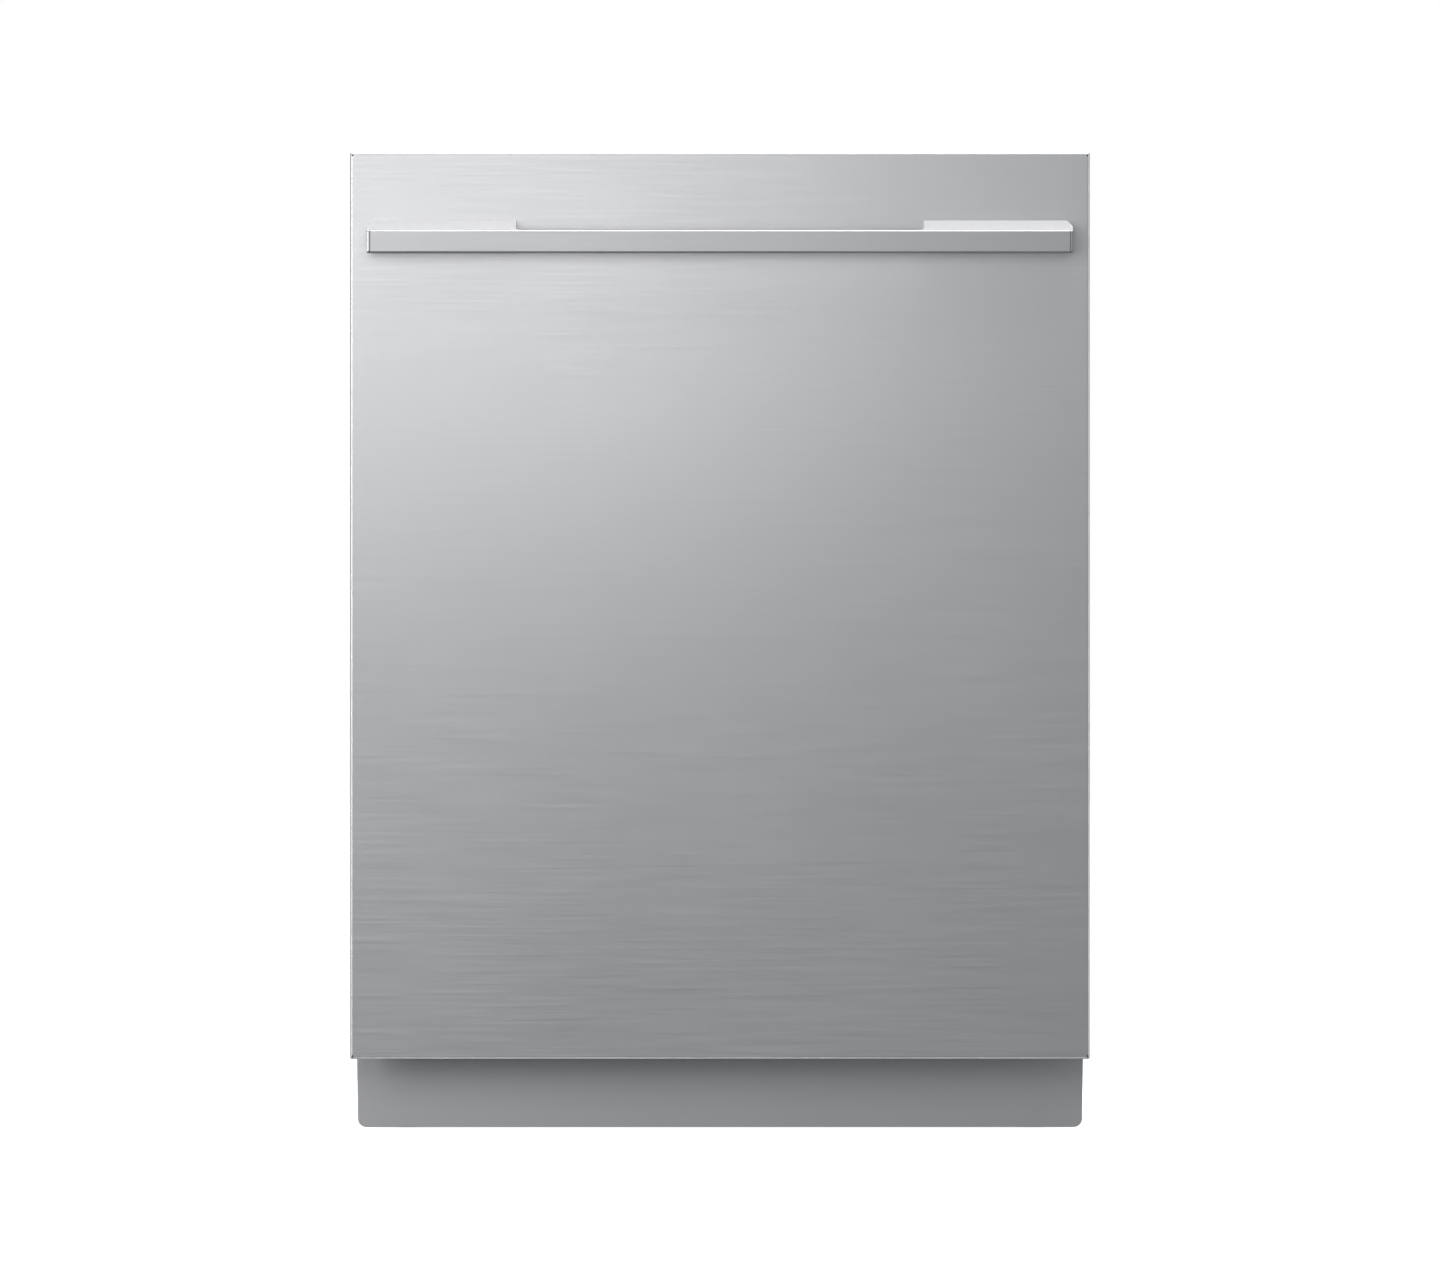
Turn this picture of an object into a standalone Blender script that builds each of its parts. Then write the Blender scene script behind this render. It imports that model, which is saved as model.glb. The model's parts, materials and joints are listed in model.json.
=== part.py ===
"""Built-in dishwasher: a stainless door with a bar handle, in front of a tub, its racks and its base.

Metres, +Z up. The front faces -Y, and the origin is under the middle of the object, on the floor.
"""

from math import cos, pi, radians, sin

import bmesh
import bpy
from mathutils import Matrix, Vector

# Overall sizes
WIDTH = 0.606  # across the door
HEIGHT = 0.800  # with the legs screwed right in
BODY_DEPTH = 0.625  # from the door's face to the back
HANDLE_REACH = 0.045  # how far the handle stands in front of the door
CLEARANCE = 0.0005  # between pieces that rest on each other

# Door
DOOR_RETURN = 0.024  # depth of the outer panel's folded sides
DOOR_SHEET = 0.001
DOOR_EDGE = 0.003  # radius of the outer panel's folds
TOP_LIP = 0.010
LINER_DEPTH = 0.037
LINER_EDGE = 0.006
LINER_LAP = 0.004  # how far the liner reaches into the outer panel's folds
SIDE_STEP = 0.0175  # how much narrower the liner is than the outer panel, on each side
CONTROL_HEIGHT = 0.030
CONTROL_DROP = 0.0035  # from the door's top edge down to the controls
BUTTON_SIZE = 0.014
BUTTON_STROKE = 0.0015
BUTTON_PITCH = 0.030
BUTTON_POCKET = 0.006  # depth of a button's pocket
DISPENSER_PROUD = 0.005  # how far the dispenser stands out from the liner

# Handle
HANDLE_LENGTH = 0.578
HANDLE_DROP = 0.0639  # from the door's top edge down to the bar
BAR_HEIGHT = 0.0189
BAR_THICKNESS = 0.016
BRACKET_LENGTH = 0.122
BRACKET_RISE = 0.0082  # how far a bracket's top climbs on its way back to the door

# Door hinge
PIVOT_SETBACK = 0.022  # behind the door's face
PIVOT_RISE = 0.035  # above the door's bottom edge
HINGE_PLATE = 0.003

# Base
KICK_SETBACK = 0.070  # behind the door's face
KICK_DROP = 0.0567  # how far the kick plate shows below the door
KICK_LAP = 0.018  # how far it goes up behind the door
KICK_FLOOR_GAP = 0.0005
KICK_INSET = 0.0045  # from the door's side
KICK_TAPER = 0.001
KICK_RADIUS = 0.007
KICK_SHEET = 0.002
LEG_ROD_RADIUS = 0.004
FOOT_RADIUS = 0.014
FOOT_HEIGHT = 0.008
LEG_INSET = 0.025  # from the tub's outer face to the middle of a leg
JUNCTION_SIZE = (0.090, 0.044, 0.048)
JUNCTION_INSET = 0.090  # from the middle of a leg to the middle of the junction box

# Chassis and tub
FRAME_INSET = 0.006  # from the door's side to the side frame's outer face
FRAME_CHANNEL = 0.0145  # how far the side frame's flanges turn in
FRAME_SHEET = 0.0015
FRAME_SETBACK = 0.018  # behind the liner's face
FRAME_BOTTOM = 0.018
CROSSBAR_RISE = 0.042  # from the side frames' bottom up to the lower crossbars' tops
TUB_INSET = 0.023  # from the door's side to the tub's outer face
TUB_DROP = 0.027  # from the door's top down to the tub's top
TUB_WALL = 0.0015
TUB_CORNER = 0.030
TUB_SKIRT = 0.009  # how far the tub's sides go down past the wheels' track
REAR_SPACE = 0.014
PAN_DEPTH = 0.020
PAN_SHEET = 0.002
PAN_LEDGE = 0.055  # width of the ledge that the lower rack rolls on
PAN_END_LEDGE = 0.018  # width of the ledge at the front and the back
PAN_SLOPE = 0.010  # how far the well's walls lean in
GASKET_DEPTH = 0.004
BLANKET_THICKNESS = 0.0095
SUMP_HOLE_RADIUS = 0.050
FILTER_X = 0.110
FILTER_SETBACK = 0.060  # behind the spray arms' axis

# Racks and spray arms
RACK_FRONT_GAP = 0.028  # from the closed door's liner to the racks
RACK_REAR_GAP = 0.043
WIRE = 0.004
LOWER_INSET = 0.036  # from the tub's outer face to the lower rack
LOWER_HEIGHT = 0.145
UPPER_INSET = 0.030  # from the tub's outer face to the upper rack
UPPER_HEIGHT = 0.120
LOAD_HEIGHT = 0.288  # from the wheels' track up to the upper rack
WHEEL_RADIUS = 0.018
WHEEL_WIDTH = 0.011
WHEEL_GAP = 0.005  # from the lower rack to its wheels
FRONT_WHEEL_SETBACK = 0.125  # from the door's pivot back to the front axle
ARM_THICKNESS = 0.014
ARM_WIDTH = 0.060
RAIL_SHEET = 0.0015
RAIL_LIP = 0.011  # how far the rail's edges turn in from the tub's wall
RAIL_HALF = 0.012  # half of the rail's height
RAIL_RISE = 0.002  # from the upper rack's top to the rail's middle

# Places worked out from the sizes above
HALF = WIDTH / 2
BACK = (BODY_DEPTH + HANDLE_REACH) / 2
FACE = BACK - BODY_DEPTH
DOOR_BOTTOM = KICK_FLOOR_GAP + KICK_DROP
PIVOT_Y = FACE + PIVOT_SETBACK
PIVOT_Z = DOOR_BOTTOM + PIVOT_RISE
LINER_FACE = FACE + DOOR_RETURN - LINER_LAP + LINER_DEPTH
LINER_HALF = HALF - SIDE_STEP
TRACK_Z = PIVOT_Z + LINER_FACE - PIVOT_Y
TUB_HALF = HALF - TUB_INSET
TUB_TOP = HEIGHT - TUB_DROP
TUB_FRONT = LINER_FACE + GASKET_DEPTH + 2 * CLEARANCE
TUB_REAR = BACK - REAR_SPACE
TUB_BOTTOM = TRACK_Z - TUB_SKIRT
PAN_TOP = TRACK_Z - CLEARANCE
PAN_FLOOR = PAN_TOP - PAN_DEPTH
PAN_HALF = TUB_HALF - TUB_WALL - CLEARANCE
FRAME_HALF = HALF - FRAME_INSET
FRAME_FRONT = LINER_FACE + FRAME_SETBACK
FRAME_TOP = TUB_TOP + 0.010
RACK_FRONT = LINER_FACE + RACK_FRONT_GAP
RACK_REAR = TUB_REAR - RACK_REAR_GAP
ARM_Y = (TUB_FRONT + TUB_REAR) / 2
LOWER_HALF = TUB_HALF - LOWER_INSET
UPPER_HALF = TUB_HALF - UPPER_INSET
ARM_REACH = min(LOWER_HALF, (TUB_REAR - TUB_FRONT) / 2 - 0.029) - 0.002
WHEEL_Z = TRACK_Z + WHEEL_RADIUS
LOWER_ARM_Z = TRACK_Z + 0.006
LOWER_RACK_Z = LOWER_ARM_Z + ARM_THICKNESS + 0.008
UPPER_RACK_Z = TRACK_Z + LOAD_HEIGHT
MID_ARM_Z = UPPER_RACK_Z - ARM_THICKNESS - 0.010
RAIL_Z = UPPER_RACK_Z + UPPER_HEIGHT + RAIL_RISE
LEG_X = TUB_HALF - LEG_INSET
LEG_FRONT = FACE + KICK_SETBACK + 0.045
LEG_REAR = BACK - 0.035
CROSSBAR_Z = FRAME_BOTTOM + CROSSBAR_RISE
FILTER_Y = ARM_Y + FILTER_SETBACK
JUNCTION_X = LEG_X - JUNCTION_INSET
JUNCTION_Y = LEG_FRONT + 0.050

parts = None
cutters = None


# ---- Tools ----


def clear_scene():
    for thing in list(bpy.data.objects):
        bpy.data.objects.remove(thing, do_unlink=True)


def new_collection(name):
    group = bpy.data.collections.new(name)
    bpy.context.scene.collection.children.link(group)
    return group


def material(name, colour, roughness, metallic=0.0):
    """A plain Principled material, made once for each name; the colour is linear RGB."""
    found = bpy.data.materials.get(name)
    if found:
        return found
    made = bpy.data.materials.new(name)
    made.use_nodes = True
    shader = made.node_tree.nodes["Principled BSDF"]
    shader.inputs["Base Color"].default_value = (*colour, 1)
    shader.inputs["Roughness"].default_value = roughness
    shader.inputs["Metallic"].default_value = metallic
    return made


def stainless():
    return material("brushed_stainless", (0.62, 0.62, 0.63), 0.32, 1.0)


def tub_steel():
    return material("tub_stainless", (0.58, 0.58, 0.59), 0.25, 1.0)


def galvanised():
    return material("galvanised_steel", (0.45, 0.46, 0.47), 0.45, 1.0)


def kick_paint():
    return material("satin_grey_paint", (0.30, 0.30, 0.31), 0.5)


def black_plastic():
    return material("black_plastic", (0.02, 0.02, 0.022), 0.45)


def grey_plastic():
    return material("grey_plastic", (0.32, 0.33, 0.35), 0.5)


def rack_nylon():
    return material("grey_nylon_coating", (0.28, 0.29, 0.31), 0.45)


def rubber():
    return material("black_rubber", (0.015, 0.015, 0.016), 0.7)


def felt():
    return material("insulation_felt", (0.05, 0.05, 0.055), 0.95)


def keep(piece, finish, smooth=True):
    """Puts a piece in the parts collection, with its own material."""
    for group in list(piece.users_collection):
        group.objects.unlink(piece)
    parts.objects.link(piece)
    piece.data.materials.clear()
    piece.data.materials.append(finish)
    if smooth and piece.type == "MESH":
        piece.data.shade_smooth()
        piece.data.set_sharp_from_angle(angle=radians(35))
    return piece


def mesh_object(name, shape):
    """An object from a bmesh, which it frees."""
    data = bpy.data.meshes.new(name)
    shape.to_mesh(data)
    shape.free()
    piece = bpy.data.objects.new(name, data)
    bpy.context.scene.collection.objects.link(piece)
    return piece


def cube_shape(low, high):
    """A bmesh box between two corners, about its own middle, and that middle."""
    size = Vector(high) - Vector(low)
    shape = bmesh.new()
    bmesh.ops.create_cube(shape, size=1)
    bmesh.ops.scale(shape, vec=size, verts=shape.verts)
    return shape, (Vector(high) + Vector(low)) / 2


def box(name, low, high, edge=0.0, segments=2):
    shape, middle = cube_shape(low, high)
    piece = mesh_object(name, shape)
    piece.location = middle
    if edge:
        round_edges(piece, edge, segments)
    return piece


def round_edges(piece, width, segments=2):
    bevel = piece.modifiers.new("rounded edges", "BEVEL")
    bevel.width = width
    bevel.segments = segments
    bevel.limit_method = "ANGLE"
    bevel.angle_limit = radians(40)


def shell(name, low, high, wall, open_side, edge=0.0, segments=2):
    """A thin-walled box, open on the side whose outward direction is given."""
    shape, middle = cube_shape(low, high)
    way = Vector(open_side)
    gone = [face for face in shape.faces if face.normal.dot(way) > 0.9]
    bmesh.ops.delete(shape, geom=gone, context="FACES")
    piece = mesh_object(name, shape)
    piece.location = middle
    if edge:
        round_edges(piece, edge, segments)
    solid = piece.modifiers.new("wall", "SOLIDIFY")
    solid.thickness = wall
    solid.offset = -1
    solid.use_even_offset = True
    return piece


def cylinder(name, radius, low, high, axis="Z", edge=0.0, sides=24):
    """A cylinder from the middle of one end to the middle of the other."""
    start, end = Vector(low), Vector(high)
    shape = bmesh.new()
    bmesh.ops.create_cone(
        shape, cap_ends=True, segments=sides, radius1=radius, radius2=radius, depth=(end - start).length
    )
    turn = {"Z": Matrix(), "X": Matrix.Rotation(pi / 2, 4, "Y"), "Y": Matrix.Rotation(pi / 2, 4, "X")}
    bmesh.ops.transform(shape, matrix=turn[axis], verts=shape.verts)
    piece = mesh_object(name, shape)
    piece.location = (start + end) / 2
    if edge:
        round_edges(piece, edge, 2)
    return piece


def turned(name, profile, place, steps=24):
    """A turned shape about +Z from (radius, height) points that run down its outer side."""
    shape = bmesh.new()
    points = [shape.verts.new((radius, 0, height)) for radius, height in profile]
    for first, second in zip(points, points[1:]):
        shape.edges.new((first, second))
    piece = mesh_object(name, shape)
    piece.location = place
    screw = piece.modifiers.new("turned", "SCREW")
    screw.steps = screw.render_steps = steps
    screw.use_merge_vertices = True
    screw.merge_threshold = 0.0001
    return piece


def flat(name, outline, thickness, turn, place, holes=()):
    """A flat outline with holes, thickened equally to both sides of its own plane."""
    curve = bpy.data.curves.new(name, "CURVE")
    curve.dimensions = "2D"
    curve.fill_mode = "BOTH"
    curve.extrude = thickness / 2
    for loop in (outline, *holes):
        spline = curve.splines.new("POLY")
        spline.points.add(len(loop) - 1)
        for point, (across, up) in zip(spline.points, loop):
            point.co = (across, up, 0, 1)
        spline.use_cyclic_u = True
    piece = bpy.data.objects.new(name, curve)
    bpy.context.scene.collection.objects.link(piece)
    piece.rotation_euler = turn
    piece.location = place
    return piece


def across_y(name, outline, low, high, holes=()):
    """An (x, z) outline carried along Y."""
    return flat(name, outline, high - low, (pi / 2, 0, 0), (0, (low + high) / 2, 0), holes)


def across_x(name, outline, low, high, holes=()):
    """A (y, z) outline carried along X."""
    return flat(name, outline, high - low, (pi / 2, 0, pi / 2), ((low + high) / 2, 0, 0), holes)


def across_z(name, outline, low, high, holes=()):
    """An (x, y) outline carried along Z."""
    return flat(name, outline, high - low, (0, 0, 0), (0, 0, (low + high) / 2), holes)


def tube(name, points, radius):
    """A round bar along a run of points."""
    curve = bpy.data.curves.new(name, "CURVE")
    curve.dimensions = "3D"
    curve.bevel_depth = radius
    curve.bevel_resolution = 2
    curve.use_fill_caps = True
    spline = curve.splines.new("POLY")
    spline.points.add(len(points) - 1)
    for point, place in zip(spline.points, points):
        point.co = (*place, 1)
    piece = bpy.data.objects.new(name, curve)
    bpy.context.scene.collection.objects.link(piece)
    return piece


def as_mesh(piece):
    """The mesh of a curve object in its place, with its caps joined on; the curve is removed."""
    name = piece.name
    bpy.context.view_layer.update()
    seen = piece.evaluated_get(bpy.context.evaluated_depsgraph_get())
    data = bpy.data.meshes.new_from_object(seen)
    matrix = piece.matrix_world.copy()
    bpy.data.objects.remove(piece, do_unlink=True)
    shape = bmesh.new()
    shape.from_mesh(data)
    bmesh.ops.remove_doubles(shape, verts=shape.verts, dist=0.00001)
    shape.to_mesh(data)
    shape.free()
    made = bpy.data.objects.new(name, data)
    made.matrix_world = matrix
    bpy.context.scene.collection.objects.link(made)
    return made


def use(piece, tool, operation):
    """A Boolean of one mesh with another, which joins the cutters."""
    for group in list(tool.users_collection):
        group.objects.unlink(tool)
    cutters.objects.link(tool)
    tool.hide_render = True
    tool.display_type = "WIRE"
    change = piece.modifiers.new(operation.lower(), "BOOLEAN")
    change.operation = operation
    change.object = tool
    change.solver = "EXACT"
    return piece


def cut(piece, tool):
    return use(piece, tool, "DIFFERENCE")


def join(piece, tool):
    return use(piece, tool, "UNION")


def arc(middle, radius, start, end, steps=5):
    """Points along an arc, in degrees, both ends included."""
    turns = [radians(start + (end - start) * step / steps) for step in range(steps + 1)]
    return [(middle[0] + radius * cos(turn), middle[1] + radius * sin(turn)) for turn in turns]


def arch(half, top, bottom, wall, radius):
    """Outline of an upside-down U with rounded shoulders."""

    def side(half, top, radius):
        left = arc((radius - half, top - radius), radius, 180, 90)
        right = arc((half - radius, top - radius), radius, 90, 0)
        return [(-half, bottom), *left, *right, (half, bottom)]

    return side(half, top, radius) + side(half - wall, top - wall, radius - wall)[::-1]


def rectangle(left, bottom, right, top):
    return [(left, bottom), (right, bottom), (right, top), (left, top)]


def circle(middle, radius, steps=16):
    return arc(middle, radius, 0, 360 - 360 / steps, steps - 1)


def axis_empty(name, place):
    """An empty on a joint's axis, which the moving pieces hang from."""
    empty = bpy.data.objects.new(name, None)
    empty.location = place
    parts.objects.link(empty)
    return empty


def hang(pieces, empty):
    """Parents pieces to an empty and leaves them where they are."""
    bpy.context.view_layer.update()
    for piece in pieces:
        piece.parent = empty
        piece.matrix_parent_inverse = empty.matrix_world.inverted()


def both_sides(make):
    """The left (-X) and right (+X) pieces that one function makes."""
    return [make("left", -1), make("right", 1)]


def span(side, inner, outer):
    """The low and high X of something between two distances from the middle, on one side."""
    return (inner, outer) if side > 0 else (-outer, -inner)


# ---- Door ----


def door_panel():
    """The outer skin: a sheet folded back on all four sides, with a narrow lip along its top."""
    skin = shell(
        "door_panel",
        (-HALF, FACE, DOOR_BOTTOM),
        (HALF, FACE + DOOR_RETURN, HEIGHT),
        DOOR_SHEET,
        (0, 1, 0),
        DOOR_EDGE,
        3,
    )
    cut(skin, box(
        "top_opening",
        (-HALF + DOOR_SHEET * 3, FACE + TOP_LIP, HEIGHT - 0.010),
        (HALF - DOOR_SHEET * 3, FACE + DOOR_RETURN + 0.010, HEIGHT + 0.010),
    ))
    cut(skin, box(
        "bottom_opening",
        (-HALF + DOOR_SHEET * 3, FACE + TOP_LIP, DOOR_BOTTOM - 0.010),
        (HALF - DOOR_SHEET * 3, FACE + DOOR_RETURN + 0.010, DOOR_BOTTOM + 0.010),
    ))
    return keep(skin, stainless())


def dispenser_place():
    """The dispenser's low and high corners in the door's plane, as (x, z) pairs."""
    middle = (DOOR_BOTTOM + HEIGHT) / 2
    return (-0.120, middle - 0.060), (0.070, middle + 0.060)


def door_liner():
    """The inner skin, a deep pan whose open side faces the outer skin."""
    liner = shell(
        "door_liner",
        (-LINER_HALF, LINER_FACE - LINER_DEPTH, PIVOT_Z + 0.001),
        (LINER_HALF, LINER_FACE, HEIGHT - CONTROL_DROP - CONTROL_HEIGHT - CLEARANCE),
        DOOR_SHEET,
        (0, -1, 0),
        LINER_EDGE,
        3,
    )
    (left, bottom), (right, top) = dispenser_place()
    low, high = (left, LINER_FACE - 0.010, bottom), (right, LINER_FACE + 0.010, top)
    cut(liner, box("dispenser_opening", low, high))
    return keep(liner, tub_steel())


def door_insulation():
    """The sound-deadening pad between the two skins."""
    pad = box(
        "door_insulation",
        (-LINER_HALF + 0.004, FACE + DOOR_SHEET + CLEARANCE, PIVOT_Z + 0.012),
        (LINER_HALF - 0.004, FACE + DOOR_RETURN, HEIGHT - CONTROL_DROP - CONTROL_HEIGHT - 0.010),
        0.003,
    )
    return keep(pad, felt())


def button_places():
    return [(index - 1) * BUTTON_PITCH + 0.150 for index in range(3)]


def control_y():
    """The middle of the control panel's top, from front to back."""
    return (FACE + TOP_LIP + LINER_FACE) / 2


def control_panel():
    """The hidden controls along the door's top, with a pocket for each button and one for the latch."""
    top = HEIGHT - CONTROL_DROP
    panel = box(
        "control_panel",
        (-LINER_HALF, FACE + TOP_LIP + CLEARANCE, top - CONTROL_HEIGHT),
        (LINER_HALF, LINER_FACE - CLEARANCE, top),
        0.0015,
    )
    half = BUTTON_SIZE / 2 + CLEARANCE
    for place in button_places():
        low = (place - half, control_y() - half, top - BUTTON_POCKET)
        high = (place + half, control_y() + half, top + 0.010)
        cut(panel, box("button_pocket", low, high))
    cut(panel, box(
        "latch_pocket",
        (-0.022, LINER_FACE - 0.028, top - 0.016),
        (0.022, LINER_FACE + 0.010, top + 0.010),
    ))
    return keep(panel, black_plastic())


def buttons():
    top = HEIGHT - CONTROL_DROP
    half = BUTTON_SIZE / 2
    made = []
    for name, place in zip(("power_button", "cycle_button", "start_button"), button_places()):
        button = box(
            name,
            (place - half, control_y() - half, top - BUTTON_POCKET + BUTTON_STROKE + CLEARANCE),
            (place + half, control_y() + half, top + BUTTON_STROKE),
            0.001,
        )
        made.append(keep(button, grey_plastic()))
    return made


def latch_claw():
    """The sprung tongue that holds the door shut: it presses on the edge of the top crossbar."""
    top = HEIGHT - CONTROL_DROP
    outline = [
        (LINER_FACE - 0.026, top - 0.006),
        (LINER_FACE - 0.026, top - 0.012),
        (LINER_FACE - 0.012, top - 0.014),
        (LINER_FACE + 0.006, top - 0.011),
        (LINER_FACE + 0.009, top - 0.008),
        (LINER_FACE + 0.004, top - 0.005),
        (LINER_FACE - 0.012, top - 0.005),
    ]
    return keep(across_x("latch_claw", outline, -0.016, 0.016), galvanised())


def handle_bar():
    """The bar along the front of the handle."""
    top = HEIGHT - HANDLE_DROP
    bar = box(
        "handle_bar",
        (-HANDLE_LENGTH / 2, FACE - HANDLE_REACH, top - BAR_HEIGHT),
        (HANDLE_LENGTH / 2, FACE - HANDLE_REACH + BAR_THICKNESS, top),
        0.0015,
    )
    return keep(bar, stainless())


def handle_bracket(name, side):
    """A wedge between the bar's end and the door, level below and climbing towards the door above."""
    top = HEIGHT - HANDLE_DROP
    front = FACE - HANDLE_REACH + BAR_THICKNESS + CLEARANCE
    rear = FACE - CLEARANCE
    bottom = top - BAR_HEIGHT
    outline = [(front, bottom), (rear, bottom), (rear, top + BRACKET_RISE), (front, top)]
    low, high = span(side, HANDLE_LENGTH / 2 - BRACKET_LENGTH, HANDLE_LENGTH / 2)
    return keep(across_x(f"handle_bracket_{name}", outline, low, high), stainless())


def dispenser_body():
    """The detergent and rinse-aid dispenser, with an open cup."""
    (left, bottom), (right, top) = dispenser_place()
    body = box(
        "dispenser_body",
        (left + CLEARANCE, LINER_FACE - 0.030, bottom + CLEARANCE),
        (right - CLEARANCE, LINER_FACE + DISPENSER_PROUD, top - CLEARANCE),
        0.002,
    )
    cut(body, box(
        "detergent_cup",
        (left + 0.014, LINER_FACE - 0.024, bottom + 0.022),
        (left + 0.084, LINER_FACE + 0.020, top - 0.028),
    ))
    return keep(body, grey_plastic())


def detergent_lid():
    """The lid that slides down off the detergent cup."""
    (left, bottom), (right, top) = dispenser_place()
    face = LINER_FACE + DISPENSER_PROUD + CLEARANCE
    low, high = (left + 0.010, face, bottom + 0.018), (left + 0.088, face + 0.002, top - 0.024)
    lid = box("detergent_lid", low, high, 0.0006)
    return keep(lid, grey_plastic())


def rinse_aid_cap():
    """The quarter-turn cap of the rinse-aid tank, with a grip across it."""
    (left, bottom), (right, top) = dispenser_place()
    face = LINER_FACE + DISPENSER_PROUD + CLEARANCE
    x, z = right - 0.045, (bottom + top) / 2
    cap = cylinder("rinse_aid_cap", 0.021, (x, face, z), (x, face + 0.004, z), "Y")
    grip = box("cap_grip", (x - 0.016, face + 0.002, z - 0.003), (x + 0.016, face + 0.010, z + 0.003))
    join(cap, grip)
    return keep(cap, grey_plastic())


def hinge_plates():
    """How far out the hinge's arm and its bracket lie: (inner, outer) for each."""
    arm = LINER_HALF + 0.002
    bracket = arm + HINGE_PLATE + CLEARANCE
    return (arm, arm + HINGE_PLATE), (bracket, bracket + HINGE_PLATE)


def hinge_arm(name, side):
    """The steel arm screwed inside the door's edge, which turns on the bracket's pin."""
    front = FACE + DOOR_SHEET + 0.001
    rear = FACE + DOOR_RETURN - 0.002
    outline = [
        (front, PIVOT_Z - 0.010),
        *arc((PIVOT_Y, PIVOT_Z), 0.012, -90, 20),
        (rear, PIVOT_Z + 0.030),
        (rear, PIVOT_Z + 0.170),
        (front, PIVOT_Z + 0.170),
    ]
    low, high = span(side, *hinge_plates()[0])
    hole = circle((PIVOT_Y, PIVOT_Z), 0.0045)
    return keep(across_x(f"hinge_arm_{name}", outline, low, high, [hole]), galvanised())


# ---- Base and chassis ----


def hinge_bracket(name, side):
    """The plate on the side frame's front flange that carries the door's pivot pin."""
    rear = FRAME_FRONT - CLEARANCE
    outline = [
        *arc((PIVOT_Y, PIVOT_Z), 0.010, 90, 270),
        (PIVOT_Y + 0.018, PIVOT_Z - 0.006),
        (rear, PIVOT_Z - 0.006),
        (rear, PIVOT_Z + 0.060),
        (rear - 0.012, PIVOT_Z + 0.060),
    ]
    (arm_low, _), (low, high) = hinge_plates()
    plate = as_mesh(across_x(f"hinge_bracket_{name}", outline, *span(side, low, high)))
    start, end = side * (arm_low - 0.001), side * (low + 0.001)
    join(plate, cylinder("pivot_pin", 0.0040, (min(start, end), PIVOT_Y, PIVOT_Z),
                         (max(start, end), PIVOT_Y, PIVOT_Z), "X", sides=16))
    return keep(plate, galvanised())


def kick_outline():
    """The kick plate from the front, slightly narrower at its rounded lower corners."""
    top = DOOR_BOTTOM + KICK_LAP
    half = HALF - KICK_INSET
    low = half - KICK_TAPER
    radius = KICK_RADIUS
    left = arc((radius - low, KICK_FLOOR_GAP + radius), radius, 180, 270)
    right = arc((low - radius, KICK_FLOOR_GAP + radius), radius, 270, 360)
    return [(-half, top), *left, *right, (half, top)]


def kick_plate():
    front = FACE + KICK_SETBACK
    return keep(across_y("kick_plate", kick_outline(), front, front + KICK_SHEET), kick_paint())


def base_tray():
    """The drip tray under the pumps, open at the top."""
    tray = shell(
        "base_tray",
        (-LEG_X + 0.024, LEG_FRONT - 0.020, 0.012),
        (LEG_X - 0.024, LEG_REAR + 0.020, 0.034),
        0.0018,
        (0, 0, 1),
        0.004,
    )
    return keep(tray, galvanised())


def side_frame(name, side):
    """A side sheet with a flange turned in along its front and its back."""
    outer, inner, lip = FRAME_HALF, FRAME_HALF - FRAME_SHEET, FRAME_HALF - FRAME_CHANNEL
    outline = [
        (lip, FRAME_FRONT),
        (outer, FRAME_FRONT),
        (outer, BACK),
        (lip, BACK),
        (lip, BACK - FRAME_SHEET),
        (inner, BACK - FRAME_SHEET),
        (inner, FRAME_FRONT + FRAME_SHEET),
        (lip, FRAME_FRONT + FRAME_SHEET),
    ]
    if side < 0:
        outline = [(-x, y) for x, y in outline]
    return keep(across_z(f"side_frame_{name}", outline, FRAME_BOTTOM, FRAME_TOP), galvanised())


def crossbar(name, leg_y):
    """A channel between the side frames, with its edges down and a hole for each leg."""
    half = FRAME_HALF - FRAME_CHANNEL - CLEARANCE
    channel = shell(
        name,
        (-half, leg_y - 0.022, CROSSBAR_Z - 0.016),
        (half, leg_y + 0.022, CROSSBAR_Z),
        FRAME_SHEET,
        (0, 0, -1),
    )
    for side in (-1, 1):
        start = (side * LEG_X, leg_y, CROSSBAR_Z - 0.010)
        end = (side * LEG_X, leg_y, CROSSBAR_Z + 0.010)
        cut(channel, cylinder("leg_hole", LEG_ROD_RADIUS + CLEARANCE, start, end, sides=16))
    return keep(channel, galvanised())


def top_crossbar():
    """The bar over the tub's mouth, which the latch catches on and the countertop brackets stand on."""
    half = FRAME_HALF - FRAME_CHANNEL - CLEARANCE
    bottom = TUB_TOP + CLEARANCE
    outline = [
        (TUB_FRONT + 0.002, bottom),
        (TUB_FRONT + 0.040, bottom),
        (TUB_FRONT + 0.040, bottom + 0.002),
        (TUB_FRONT + 0.004, bottom + 0.002),
        (TUB_FRONT + 0.004, bottom + 0.008),
        (TUB_FRONT + 0.002, bottom + 0.008),
    ]
    return keep(across_x("top_crossbar", outline, -half, half), galvanised())


def countertop_bracket(name, side):
    """A tab on the top crossbar, with a screw hole, for fixing to the underside of a countertop."""
    bottom = TUB_TOP + 2 * CLEARANCE + 0.002
    centre = side * (TUB_HALF - 0.060)
    outline = rectangle(centre - 0.020, TUB_FRONT + 0.0045, centre + 0.020, TUB_FRONT + 0.038)
    hole = circle((centre, TUB_FRONT + 0.021), 0.0035)
    tab = across_z(f"countertop_bracket_{name}", outline, bottom, bottom + 0.003, [hole])
    return keep(tab, galvanised())


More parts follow.
